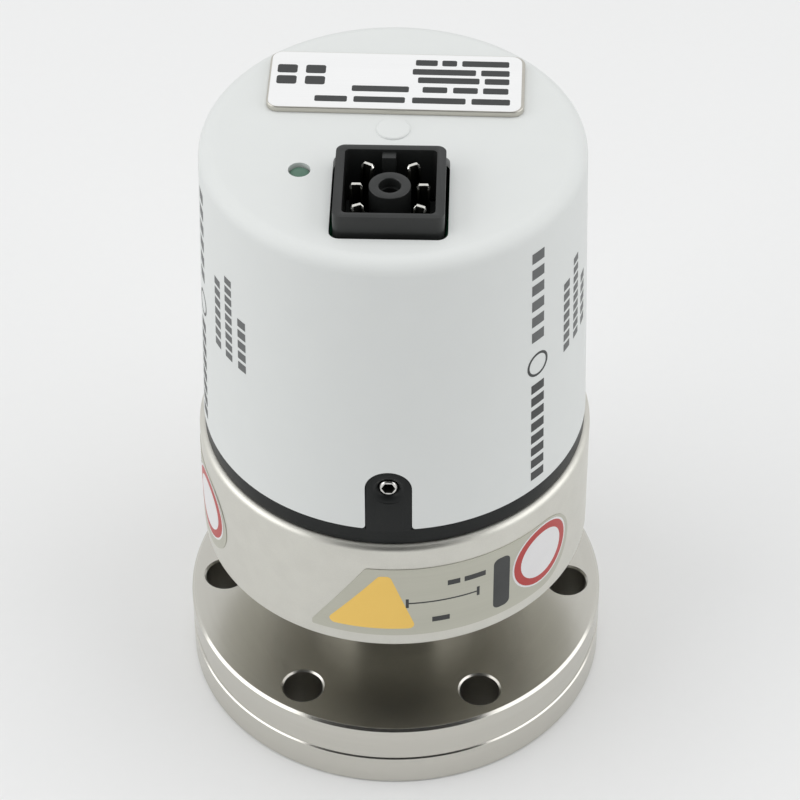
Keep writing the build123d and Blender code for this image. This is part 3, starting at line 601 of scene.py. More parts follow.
@dataclass(frozen=True)
class Finishes:
    """Every finish of the gauge."""

    turned_steel: Finish = Finish(
        "turned_steel", (0.65, 0.635, 0.585), (0.60, 0.585, 0.535), 0.24, 0.06, 1.0, Pattern.TURNED, 0.10, 0.03, 0.70)
    bored_steel: Finish = Finish(
        "bored_steel", (0.62, 0.605, 0.56), (0.56, 0.545, 0.50), 0.30, 0.06, 1.0, Pattern.GRAIN, 0.12, 0.04)
    # Darker than the turned flange steel: painted shade, standing in for the shade that falls on the neck under the
    # housing.
    tube_steel_painted_shade: Finish = Finish(
        "neck_steel_painted_shade", (0.40, 0.39, 0.35), (0.34, 0.33, 0.295), 0.28, 0.06, 1.0, Pattern.TURNED, 0.10, 0.03, 0.60)
    satin_nickel: Finish = Finish(
        "satin_nickel", (0.70, 0.69, 0.635), (0.65, 0.64, 0.59), 0.44, 0.08, 1.0, Pattern.GRAIN, 0.16, 0.16, 0.2)
    bright_steel: Finish = Finish(
        "bright_steel", (0.74, 0.73, 0.70), (0.60, 0.59, 0.57), 0.22, 0.10, 1.0, Pattern.GRAIN, 0.12, 0.05)
    ferrite: Finish = Finish(
        "sintered_ferrite", (0.10, 0.10, 0.11), (0.045, 0.045, 0.05), 0.62, 0.15, 0.1, Pattern.SPECKLE, 0.5, 0.3)
    aluminium: Finish = Finish(
        "turned_aluminium", (0.78, 0.78, 0.79), (0.66, 0.66, 0.68), 0.34, 0.12, 1.0, Pattern.TURNED, 0.25, 0.12, 0.5)
    rubber: Finish = Finish(
        "seal_rubber_black", (0.035, 0.033, 0.032), (0.02, 0.019, 0.018), 0.6, 0.1, 0.0, Pattern.GRAIN, 0.4, 0.15)
    glass: Finish = Finish(
        "sealing_glass", (0.50, 0.62, 0.60), (0.42, 0.55, 0.53), 0.12, 0.05, 0.0, Pattern.GRAIN, 0.8, 0.03, transmission=0.55)
    black_plastic: Finish = Finish(
        "satin_black", (0.011, 0.0125, 0.012), (0.008, 0.009, 0.009), 0.40, 0.08, 0.0, Pattern.GRAIN, 0.22, 0.08, specular=0.2)
    connector_black: Finish = Finish(
        "connector_black", (0.020, 0.0215, 0.021), (0.013, 0.014, 0.0135), 0.36, 0.08, 0.0, Pattern.GRAIN, 0.16, 0.10)
    cap_plastic: Finish = Finish(
        "cap_satin", (0.715, 0.735, 0.725), (0.70, 0.72, 0.71), 0.52, 0.06, 0.0, Pattern.GRAIN, 0.20, 0.06, specular=0.35)
    brass: Finish = Finish(
        "turned_brass", (0.75, 0.58, 0.30), (0.62, 0.46, 0.22), 0.3, 0.1, 1.0, Pattern.GRAIN, 0.25, 0.08)
    board: Finish = Finish(
        "board_lacquer", (0.04, 0.21, 0.11), (0.025, 0.15, 0.075), 0.32, 0.1, 0.0, Pattern.GRAIN, 0.6, 0.08, coat=0.4)
    component: Finish = Finish(
        "component_mould", (0.045, 0.045, 0.05), (0.03, 0.03, 0.033), 0.45, 0.12, 0.0, Pattern.GRAIN, 0.3, 0.15)
    winding: Finish = Finish(
        "winding_tape_amber", (0.55, 0.38, 0.08), (0.40, 0.26, 0.05), 0.35, 0.1, 0.0, Pattern.DRAWN, 0.5, 0.15, coat=0.3)
    can: Finish = Finish(
        "capacitor_can", (0.66, 0.66, 0.68), (0.56, 0.56, 0.58), 0.3, 0.1, 1.0, Pattern.GRAIN, 0.3, 0.06)
    trimmer_blue: Finish = Finish(
        "trimmer_mould", (0.06, 0.17, 0.42), (0.045, 0.13, 0.34), 0.4, 0.1, 0.0, Pattern.GRAIN, 0.3, 0.1)
    tin: Finish = Finish(
        "tinned_contact", (0.86, 0.85, 0.80), (0.80, 0.79, 0.74), 0.20, 0.06, 1.0, Pattern.GRAIN, 0.5, 0.01)
    lamp: Finish = Finish(
        "lamp_window", (0.095, 0.185, 0.135), (0.075, 0.155, 0.11), 0.35, 0.08, 0.0, Pattern.GRAIN, 0.5, 0.04)
    plate_metal: Finish = Finish(
        "plate_edge_metal", (0.64, 0.62, 0.56), (0.54, 0.52, 0.47), 0.34, 0.1, 1.0, Pattern.DRAWN, 0.2, 0.08)
    plate_face: Finish = Finish(
        "plate_face_pale", (0.87, 0.875, 0.875), (0.84, 0.845, 0.845), 0.34, 0.05, 0.15, Pattern.DRAWN, 0.15, 0.03)
    foil: Finish = Finish(
        "grey_foil", (0.525, 0.52, 0.445), (0.485, 0.48, 0.41), 0.40, 0.06, 0.55, Pattern.TURNED, 0.12, 0.03)
    ink_black: Finish = Finish(
        "black_ink", (0.035, 0.037, 0.037), (0.025, 0.027, 0.027), 0.42, 0.08, 0.0, Pattern.GRAIN, 0.15, 0.05)
    # Dark finish for the lower part of each contact: painted shade of the deep cavity around it, the metal being the
    # same tin all over.
    painted_shade_contact: Finish = Finish(
        "contact_painted_shade", (0.10, 0.10, 0.085), (0.07, 0.07, 0.06), 0.40, 0.08, 1.0, Pattern.GRAIN, 0.3, 0.03)
    # Dark finish for the inside of the screw's hexagon socket: painted shade of the recess, the screw being bright
    # steel throughout.
    painted_shade_socket: Finish = Finish(
        "socket_painted_shade", (0.02, 0.02, 0.017), (0.012, 0.012, 0.010), 0.6, 0.1, 0.0, Pattern.GRAIN, 0.2, 0.1, specular=0.2)
    ink_grey: Finish = Finish(
        "grey_ink", (0.12, 0.125, 0.125), (0.09, 0.095, 0.095), 0.45, 0.08, 0.0, Pattern.GRAIN, 0.15, 0.05)
    ink_yellow: Finish = Finish(
        "yellow_ink", (0.90, 0.585, 0.125), (0.87, 0.56, 0.115), 0.38, 0.06, 0.0, Pattern.GRAIN, 0.2, 0.04)
    ink_red: Finish = Finish(
        "red_ink", (0.46, 0.030, 0.026), (0.40, 0.024, 0.021), 0.38, 0.06, 0.0, Pattern.GRAIN, 0.2, 0.04)
    ink_white: Finish = Finish(
        "white_ink", (0.76, 0.755, 0.76), (0.72, 0.715, 0.72), 0.40, 0.06, 0.0, Pattern.GRAIN, 0.2, 0.04)


FINISH = Finishes()


def dress(piece: bpy.types.Object, finish: Finish) -> None:
    """Give a piece one finish all over."""
    piece.data.materials.clear()
    piece.data.materials.append(finish.build())


def place(piece: bpy.types.Object, finish: Finish, slot: Slot, *nodes: str) -> bpy.types.Object:
    """Dress a finished piece and tie it to the frame.

    Args:
        piece: The object, with its place in its mesh.
        finish: Its finish.
        slot: The record's material slot; not used.
        nodes: CAD nodes that it stands for.

    Returns:
        The same object.
    """
    dress(piece, finish)
    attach(piece, BODY)
    if nodes:
        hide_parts(*nodes)
    LOG.info("%s: %d faces", piece.name, len(piece.data.polygons))
    return piece


# ---- Vacuum side ----


@dataclass
class VacuumBody:
    """Knife-edge flange, port neck and chamber body."""

    flange_r: float = 34.95
    flange_h: float = 13.0
    bolt_circle_r: float = 29.35
    bolt_hole_r: float = 3.3
    hole_chamfer: float = 0.3
    bolt_count: int = 6
    port_r: float = 13.0
    neck_r: float = 15.0
    weld_ledge_z: float = 4.0
    neck_top_z: float = 25.4
    collar_r: float = 23.0
    collar_z: float = 27.4
    collar_top_z: float = 30.4
    cell_r: float = 20.6
    head_top_z: float = 58.0
    leak_bearings: tuple[float, float] = (120.0, 240.0)
    steps: int = 288

    def make_flange(self) -> bpy.types.Object:
        """Turn the flange and cut its bolt holes and leak-check grooves."""
        profile = rounded([
            (self.port_r, 2.3), (20.8, 2.3, 0.1), (20.95, 0.65), (24.15, 1.9), (24.15, 0.0, 0.05),
            (34.55, 0.0, 0.1), (34.95, 0.4, 0.1), (34.95, 5.75, 0.08), (34.7, 6.0, 0.1), (34.7, 7.8, 0.1),
            (34.95, 8.05, 0.08), (34.95, 12.55, 0.12), (34.5, 13.0, 0.12), (15.05, 13.0, 0.1), (15.05, 4.0),
            (self.port_r, 4.0),
        ], points=3, support=SUPPORT)
        flange = turn_profile("turned_flange", profile, self.steps)
        cut(flange, [self.hole_cutter(index) for index in range(self.bolt_count)])
        cut(flange, [self.groove_cutter(bearing) for bearing in self.leak_bearings])
        smooth(flange)
        for polygon in flange.data.polygons:
            if abs(polygon.normal.z) > 0.9999:
                polygon.use_smooth = False
        return flange

    def in_bolt_hole(self, middle: Vector, normal: Vector) -> bool:
        """Whether a face of the flange lies on the wall or chamfer of a bolt hole."""
        holes = (at_bearing((index + 0.5) * 360 / self.bolt_count, self.bolt_circle_r) for index in range(self.bolt_count))
        nearest = min(hypot(middle.x - x, middle.y - y) for x, y in holes)
        return nearest < self.bolt_hole_r + self.hole_chamfer and abs(normal.z) < 0.9

    def hole_cutter(self, index: int) -> bpy.types.Object:
        """Cutter of one bolt hole with its chamfered mouth."""
        bearing = (index + 0.5) * 360 / self.bolt_count
        wide = self.bolt_hole_r + self.hole_chamfer
        over = 1.0
        profile = [
            (0.0, -over), (self.bolt_hole_r, -over), (self.bolt_hole_r, self.flange_h - self.hole_chamfer),
            (wide + over, self.flange_h + over), (0.0, self.flange_h + over),
        ]
        cutter = turn_profile("hole_cutter", profile, 72, closed=False)
        move(cutter, turn=1.7, shift=(*at_bearing(bearing, self.bolt_circle_r), 0.0))
        return cutter

    def groove_cutter(self, bearing: float) -> bpy.types.Object:
        """Cutter of one leak-check groove in the flange's underside."""
        cutter = prism("groove_cutter", rectangle(1.6, 12.0, 0.0, 0.0, -29.6), -0.5, 1.2)
        move(cutter, turn=bearing)
        return cutter

    def make_neck(self) -> bpy.types.Object:
        """Turn the tube between the flange and the chamber body."""
        profile = [
            (self.port_r, self.weld_ledge_z), (self.neck_r, self.weld_ledge_z),
            (self.neck_r, self.neck_top_z), (self.port_r, self.neck_top_z),
        ]
        neck = turn_profile("turned_neck", profile, self.steps)
        smooth(neck)
        return neck

    def make_chamber(self) -> bpy.types.Object:
        """Turn the chamber body with its collar, cell and screw head."""
        profile = rounded([
            (self.port_r, self.neck_top_z), (self.neck_r, self.neck_top_z), (self.collar_r, self.collar_z, 0.3),
            (self.collar_r, self.collar_top_z, 0.2), (self.cell_r, self.collar_top_z), (self.cell_r, self.head_top_z),
            (16.4, self.head_top_z), (16.4, 55.4), (self.port_r, 55.4), (self.port_r, 52.0), (17.0, 50.0),
            (17.0, 32.6), (self.port_r, self.collar_top_z),
        ], points=3)
        chamber = turn_profile("turned_chamber", profile, self.steps)
        for bearing in (30.0, 150.0, 270.0):
            x, y = at_bearing(bearing, 18.4)
            cut(chamber, [prism("thread_cutter", circle(1.22, x, y, 24), 53.0, 59.0)])
        smooth(chamber)
        return chamber

    def build(self) -> None:
        """Make and place the vacuum side."""
        flange = place(self.make_flange(), FINISH.turned_steel, Slot.FLANGE, "cf_flange")
        dress_part(flange, FINISH.bored_steel, self.in_bolt_hole)
        # The neck and chamber body take the darker steel, which is painted shade of the space under the housing.
        place(self.make_neck(), FINISH.tube_steel_painted_shade, Slot.FLANGE, "port_neck")
        place(self.make_chamber(), FINISH.tube_steel_painted_shade, Slot.FLANGE, "chamber_body")


# ---- Magnet housing and its labels ----


@dataclass
class MagnetUnit:
    """Satin steel housing with its two printed foil labels."""

    outer_r: float = 31.9
    wall: float = 1.5
    bore_r: float = 20.8
    low_z: float = 30.4
    high_z: float = 52.6
    base_h: float = 5.0
    top_round: float = 1.1
    base_round: float = 0.4
    screw_bearing: float = 200.0
    screw_r: float = 1.55
    label_low: float = 32.8
    label_high: float = 47.8
    foil_thickness: float = 0.10
    ink_thickness: float = 0.012
    steps: int = 288

    def make_housing(self) -> bpy.types.Object:
        """Turn the cup and drill it for its locking screw."""
        inner_r = self.outer_r - self.wall
        profile = rounded([
            (self.bore_r, self.low_z), (self.outer_r, self.low_z, self.base_round),
            (self.outer_r, self.high_z, self.top_round), (inner_r, self.high_z), (inner_r, self.low_z + self.base_h),
            (self.bore_r, self.low_z + self.base_h),
        ], points=8, support=SUPPORT)
        housing = turn_profile("satin_housing", profile, self.steps)
        drill = prism("drill", circle(self.screw_r, points=36), self.bore_r - 1, self.outer_r + 1)
        radial(drill, self.screw_bearing, self.low_z + self.base_h / 2)
        cut(housing, [drill])
        smooth(housing)
        return housing

    def arc(self, bearing: float) -> float:
        """Length along the housing's surface for an angle in degrees."""
        return radians(bearing) * self.outer_r

    def foil_outline(self) -> list[Corner]:
        """Outline of the foil as (arc length, height), slanted at its left and round at its right."""
        round_r = (self.label_high - self.label_low) / 2
        end = self.arc(49.3)
        middle_z = (self.label_low + self.label_high) / 2
        outline = rounded([
            (end, self.label_low), (self.arc(-23.0), self.label_low, 0.3), (self.arc(-23.0), self.label_low + 1.0, 0.4),
            (self.arc(-6.6), self.label_high, 0.8), (end, self.label_high),
        ], points=4)
        for step in range(1, 24):
            angle = pi / 2 - pi * step / 24
            outline.append((end + round_r * cos(angle), middle_z + round_r * sin(angle)))
        return outline

    def field(self, name: str, outline: Sequence[Corner], level: int, turn: float, finish: Finish) -> bpy.types.Object:
        """Print one field of colour on a label.

        Args:
            name: The piece's name.
            outline: The field's outline as (arc length, height).
            level: How many layers of ink lie under it.
            turn: Degrees by which the label is turned from the front one.
            finish: The ink.

        Returns:
            The wrapped field.
        """
        across = [point[0] for point in outline]
        middle = (min(across) + max(across)) / 2
        piece = flat_outline(name, [(a - middle, z) for a, z in outline])
        columns(piece)
        rest()
        radius = self.outer_r + self.foil_thickness + level * self.ink_thickness
        wrap(piece, radius, degrees(middle / self.outer_r) + turn, self.ink_thickness)
        smooth(piece)
        return place(piece, finish, Slot.FOIL)

    def make_foil(self, name: str, turn: float) -> bpy.types.Object:
        """Make a label's foil, with its lower edge lying close to the housing."""
        outline = self.foil_outline()
        across = [point[0] for point in outline]
        middle = (min(across) + max(across)) / 2
        foil = flat_outline(name, [(a - middle, z) for a, z in outline])
        columns(foil)
        rest()
        wrap(foil, self.outer_r + 0.01, degrees(middle / self.outer_r) + turn, self.foil_thickness - 0.01)
        smooth(foil)
        return foil

    def print_label(self, prefix: str, turn: float) -> None:
        """Print the plain fields of one label."""
        outer = [(-10.7, 34.35, 0.9), (4.4, 34.35, 0.9), (0.2, 46.3, 0.9), (-1.6, 46.3, 0.9)]
        self.field(f"{prefix}_yellow_field", rounded(outer), 0, turn, FINISH.ink_yellow)
        for index, (low, high) in enumerate(((9.4, 11.5), (12.2, 15.9))):
            self.field(f"{prefix}_upper_bar_{index}", rectangle_between(low, high, 43.2, 44.3), 0, turn, FINISH.ink_black)
        self.field(f"{prefix}_lower_bar", rectangle_between(6.9, 9.8, 35.4, 36.5), 0, turn, FINISH.ink_black)
        self.field(f"{prefix}_line", rectangle_between(2.9, 14.6, 39.95, 40.25), 0, turn, FINISH.ink_black)
        for index, middle in enumerate((2.9, 14.6)):
            self.field(f"{prefix}_tick_{index}", rectangle_between(middle - 0.25, middle + 0.25, 39.1, 41.1), 0, turn, FINISH.ink_black)
        self.field(f"{prefix}_upright_bar", rectangle(3.1, 11.2, 1.1, 18.9, 40.0), 0, turn, FINISH.ink_black)
        centre = self.arc(49.3)
        self.field(f"{prefix}_disc_rim", circle(6.5, centre, 41.0), 1, turn, FINISH.ink_white)
        self.field(f"{prefix}_disc_band", circle(6.15, centre, 41.0), 2, turn, FINISH.ink_red)
        self.field(f"{prefix}_disc_middle", circle(4.75, centre, 41.0), 3, turn, FINISH.ink_white)

    def build(self) -> None:
        """Make and place the housing, the foils and their print."""
        place(self.make_housing(), FINISH.satin_nickel, Slot.HOUSING, "magnet_housing")
        for prefix, node, turn in (("front", "front_side_label", 0.0), ("left", "left_side_label", -120.0)):
            place(self.make_foil(f"{prefix}_foil", turn), FINISH.foil, Slot.FOIL, node)
            self.print_label(prefix, turn)


def rectangle_between(left: float, right: float, low: float, high: float) -> list[Corner]:
    """Outline of a plain rectangle from its edges."""
    return [(left, low), (right, low), (right, high), (left, high)]


# ---- Chassis ----


@dataclass
class Chassis:
    """Black base ring with its tab, and the screw that clamps it."""

    ring_r: float = 30.95
    low_z: float = 52.6
    ring_top_z: float = 55.8
    hub_bore_r: float = 20.85
    hub_r: float = 24.05
    hub_top_z: float = 68.4
    spigot_top_z: float = 61.8
    spigot_wall: float = 2.0
    cap_base_r: float = 31.05
    cap_draft: float = 1.45 / 53.2
    tab_w: float = 7.1
    tab_arch_z: float = 64.25
    tab_set_back: float = 0.1
    grub_r: float = 1.45
    grub_length: float = 11.0
    grub_outer_r: float = 30.4
    socket_r: float = 1.1
    dish: tuple[Corner, ...] = ((0.9, 1.55), (0.55, 1.75), (0.28, 2.05), (0.12, 2.35), (0.04, 2.65), (0.0, 3.0))
    steps: int = 288

    def cap_radius(self, height: float, inset: float) -> float:
        """Radius of the drafted cap at a height, less an inset."""
        return self.cap_base_r - self.cap_draft * (height - self.ring_top_z) - inset

    def make_chassis(self) -> bpy.types.Object:
        """Turn the ring, hub and spigot and add the tab."""
        spigot_low = self.cap_radius(self.ring_top_z, 1.45)
        spigot_high = self.cap_radius(self.spigot_top_z, 1.45)
        profile = rounded([
            (self.hub_bore_r, self.low_z), (self.ring_r, self.low_z, 0.3), (self.ring_r, self.ring_top_z, 0.15),
            (spigot_low, self.ring_top_z), (spigot_high, self.spigot_top_z, 0.3),
            (spigot_high - self.spigot_wall, self.spigot_top_z), (spigot_high - self.spigot_wall, self.ring_top_z),
            (self.hub_r, self.ring_top_z), (self.hub_r, self.hub_top_z), (self.hub_bore_r, self.hub_top_z),
        ], points=3, support=SUPPORT)
        chassis = turn_profile("black_chassis", profile, self.steps)
        combine(chassis, self.make_tab(), "UNION")
        cut(chassis, self.cutters())
        smooth(chassis)
        return chassis

    def make_tab(self) -> bpy.types.Object:
        """Extrude the arched tab and trim it to the cap's draft."""
        half = self.tab_w / 2
        outline = [(-half, self.ring_top_z - 0.4), (half, self.ring_top_z - 0.4)]
        for step in range(25):
            angle = pi * step / 24
            outline.append((half * cos(angle), self.tab_arch_z + half * sin(angle)))
        tab = prism("tab", outline, -self.cap_base_r - 1, -22.0, upright=True)
        top = self.tab_arch_z + 12
        foot = self.ring_top_z - 0.4
        envelope = turn_profile("envelope", [
            (0.0, foot - 1), (self.cap_radius(foot, self.tab_set_back), foot - 1),
            (self.cap_radius(foot, self.tab_set_back), foot), (self.cap_radius(top, self.tab_set_back), top), (0.0, top),
        ], self.steps, closed=False)
        combine(tab, envelope, "INTERSECT")
        round_edges(tab, 0.22, 50, 3)
        return tab

    def cutters(self) -> list[bpy.types.Object]:
        """Cutters of the screw hole with its soft dish, and of the pillar pockets."""
        face_r = self.cap_radius(self.tab_arch_z, self.tab_set_back)
        hole_r = self.dish[0][1]
        flare = [(radius, face_r - depth) for depth, radius in self.dish]
        drill = turn_profile("drill", [
            (0.0, self.hub_bore_r - 1), (hole_r, self.hub_bore_r - 1), *flare, (3.0, face_r + 0.6), (0.0, face_r + 0.6),
        ], 48, closed=False)
        radial(drill, 0.0, self.tab_arch_z)
        pockets = []
        for bearing in (60.0, 180.0, 300.0):
            x, y = at_bearing(bearing, 24.6)
            pockets.append(prism("pocket", circle(2.5, x, y, 32), self.ring_top_z, self.hub_top_z + 1))
        return [drill, *pockets]

    def make_screw(self) -> bpy.types.Object:
        """Turn the headless screw and cut its hexagon socket."""
        low = self.grub_outer_r - self.grub_length
        rim = 0.22
        profile = rounded([
            (0.0, low), (self.grub_r - rim, low), (self.grub_r, low + rim), (self.grub_r, self.grub_outer_r - rim, 0.1),
            (self.grub_r - rim, self.grub_outer_r, 0.1), (0.0, self.grub_outer_r),
        ], points=3)
        screw = turn_profile("clamp_grub_screw", profile, 48, closed=False)
        hexagon = circle(self.socket_r, points=6)
        cut(screw, [prism("socket", hexagon, self.grub_outer_r - 1.6, self.grub_outer_r + 1)])
        radial(screw, 0.0, self.tab_arch_z)
        smooth(screw)
        return screw

    def in_socket(self, middle: Vector, _normal: Vector) -> bool:
        """Whether a face of the screw lies inside its hexagon socket."""
        aside = hypot(middle.x, middle.z - self.tab_arch_z)
        return aside < self.socket_r + 0.02 and -self.grub_outer_r + 0.05 < middle.y < -self.grub_outer_r + 1.7

    def build(self) -> None:
        """Make and place the chassis and its screw."""
        place(self.make_chassis(), FINISH.black_plastic, Slot.BLACK, "chassis")
        screw = place(self.make_screw(), FINISH.bright_steel, Slot.FINE_STEEL, "base_grub_screw")
        # Painted shade: the faces inside the hexagon socket take a dark finish that stands in for the shade in the
        # recess.
        dress_part(screw, FINISH.painted_shade_socket, self.in_socket)


# ---- Cap, plate and lamp window ----


@dataclass
class Cap:
    """Pale drafted cap with its print, name plate and lamp window."""

    base_z: float = 55.8
    top_z: float = 109.0
    base_r: float = 31.05
    top_r: float = 29.6
    wall: float = 1.3
    top_wall: float = 1.6
    top_round: float = 2.5
    tab_w: float = 7.1
    notch_gap: float = 0.12
    notch_foot: float = 0.8
    tab_arch_z: float = 64.25
    window: tuple[float, float, float, float] = (17.6, 19.65, 0.0, -14.075)
    lamp: Corner = (-13.81, -8.04)
    lamp_hole_r: float = 1.7
    pad_y: float = 2.0
    steps: int = 288
    body: bpy.types.Object | None = field(default=None, init=False)

    def radius(self, height: float) -> float:
        """Outer radius of the drafted wall at a height."""
        share = (height - self.base_z) / (self.top_z - self.base_z)
        return self.base_r + (self.top_r - self.base_r) * share

    def make_cap(self) -> bpy.types.Object:
        """Turn the shell and cut the notch, the window and the holes."""
        ceiling = self.top_z - self.top_wall
        shell = turn_profile("pale_cap", self.profile(ceiling), self.steps, closed=False)
        cut(shell, [self.notch_cutter(), self.window_cutter(ceiling)])
        x, y = self.lamp
        cut(shell, [prism("lamp_drill", circle(self.lamp_hole_r, x, y, 48), ceiling - 1, self.top_z + 1)])
        for side in (-13.5, 13.5):
            sink = [
                (0.0, ceiling - 1), (1.6, ceiling - 1), (1.6, self.top_z - 1.4), (2.6, self.top_z),
                (2.6, self.top_z + 1), (0.0, self.top_z + 1),
            ]
            cut(shell, [turn_profile("screw_sink", sink, 32, (side, 12.7), closed=False)])
        pad = rounded([(0.0, self.top_z - 0.5), (2.6, self.top_z - 0.5), (2.6, self.top_z + 0.35, 0.28), (0.0, self.top_z + 0.35)])
        combine(shell, turn_profile("gate_pad", pad[:-1] + [pad[-1]], 64, (0.0, self.pad_y), closed=False), "UNION")
        smooth(shell)
        return shell

    def profile(self, ceiling: float) -> list[Corner]:
        """Profile of the shell from the middle of its top, down the outside and up the inside."""
        inner_top_r = self.radius(ceiling) - self.wall
        corners = [(0.0, self.top_z), (self.top_r, self.top_z, self.top_round)]
        for step in range(19, 0, -1):
            height = self.base_z + 14.0 * step / 20
            corners.append((self.radius(height), height))
        corners += [
            (self.base_r, self.base_z, 0.15), (self.base_r - self.wall, self.base_z, 0.1),
            (inner_top_r, ceiling, 1.2), (0.0, ceiling),
        ]
        return rounded(corners, points=8, support=SUPPORT)

    def notch_cutter(self) -> bpy.types.Object:
        """Cutter of the arched notch with its rounded feet."""
        half = self.tab_w / 2 + self.notch_gap
        foot = self.notch_foot
        outline = [(-half - foot, self.base_z - 1), (half + foot, self.base_z - 1), (half + foot, self.base_z)]
        for step in range(1, 9):
            angle = pi / 2 * (1 - step / 8)
            outline.append((half + foot - foot * cos(angle), self.base_z + foot - foot * sin(angle)))
        for step in range(33):
            angle = pi * step / 32
            outline.append((half * cos(angle), self.tab_arch_z + half * sin(angle)))
        for step in range(9):
            angle = pi / 2 * step / 8
            outline.append((-half - foot + foot * cos(angle), self.base_z + foot - foot * sin(angle)))
        return prism("notch", outline, -self.base_r - 2, -26.0, upright=True)

    def window_cutter(self, ceiling: float) -> bpy.types.Object:
        """Cutter of the socket window."""
        width, depth, x, y = self.window
        return prism("window", rectangle(width, depth, 1.6, x, y), ceiling - 1, self.top_z + 1)

    def make_light_pipe(self) -> bpy.types.Object:
        """Turn the lamp window with its domed end and collar."""
        top = self.top_z - 0.35
        profile = [(0.0, 98.6), (1.55, 98.6), (1.55, 106.4), (2.35, 106.4), (2.35, 107.4), (1.55, 107.4), (1.55, top - 0.5)]
        for step in range(1, 13):
            angle = pi / 2 * step / 12
            profile.append((1.55 * cos(angle), top - 0.5 + 0.5 * sin(angle)))
        profile[-1] = (0.0, top)
        pipe = turn_profile("lamp_window_piece", profile, 64, self.lamp, closed=False)
        smooth(pipe)
        return pipe

    def build(self) -> None:
        """Make and place the cap with its window piece, plate and print."""
        self.body = place(self.make_cap(), FINISH.cap_plastic, Slot.CAP, "cap")
        place(self.make_light_pipe(), FINISH.lamp, Slot.LAMP, "light_pipe")
        NamePlate(self.top_z).build()
        CapPrint(self).build()


@dataclass
class NamePlate:
    """Metal plate on the cap with a pale face and plain bars."""

    base_z: float
    width: float = 39.6
    depth: float = 14.2
    height: float = 1.0
    corner_r: float = 1.9
    x: float = 0.17
    y: float = 12.7
    turn: float = -0.9
    face_w: float = 38.8
    face_d: float = 13.8
    face_x: float = -0.1
    face_r: float = 1.6

    def settle_here(self, piece: bpy.types.Object) -> None:
        """Turn and shift a piece from the plate's own middle to the cap."""
        move(piece, self.turn, (self.x, self.y, self.base_z))

    def bar(self, name: str, x: float, y: float, width: float, depth: float, level: float) -> bpy.types.Object:
        """Flat bar of ink on the plate's face."""
        bar = prism(name, rectangle(width, depth, min(width, depth) * 0.2, x, y), self.height + level, self.height + level + 0.012)
        self.settle_here(bar)
        return bar

    def build(self) -> None:
        """Make and place the plate, its face and its bars."""
        plate = prism("plate_blank", rectangle(self.width, self.depth, self.corner_r), 0.0, self.height)
        round_edges(plate, 0.18, 50, 3)
        self.settle_here(plate)
        smooth(plate)
        place(plate, FINISH.plate_metal, Slot.PLATE, "name_plate")
        outline = rectangle(self.face_w, self.face_d, self.face_r, self.face_x)
        face = prism("plate_face", outline, self.height, self.height + 0.02)
        self.settle_here(face)
        place(face, FINISH.plate_face, Slot.PLATE)
        parts = []
        rows = [
            (4.8, (10.0, 17.3), (6.9, 9.2), (2.8, 6.2)),
            (2.5, (13.0, 17.4), (2.4, 12.2)),
            (0.4, (13.6, 17.4), (3.3, 12.8)),
            (-2.0, (13.4, 17.3), (8.8, 12.6), (4.1, 7.9), (-6.8, 2.0)),
            (-4.7, (11.7, 17.6), (2.6, 10.8), (-6.4, 1.5), (-12.4, -7.4)),
        ]
        for y, *spans in rows:
            for low, high in spans:
                parts.append(self.bar("plate_bar", (low + high) / 2, y, high - low, 1.45, 0.02))
        for x in (-17.0, -12.6):
            for y in (-0.2, 2.6):
                parts.append(self.bar("plate_bar", x, y, 3.1, 2.1, 0.02))
        bars = join("plate_bars", parts)
        place(bars, FINISH.ink_black, Slot.PLATE)


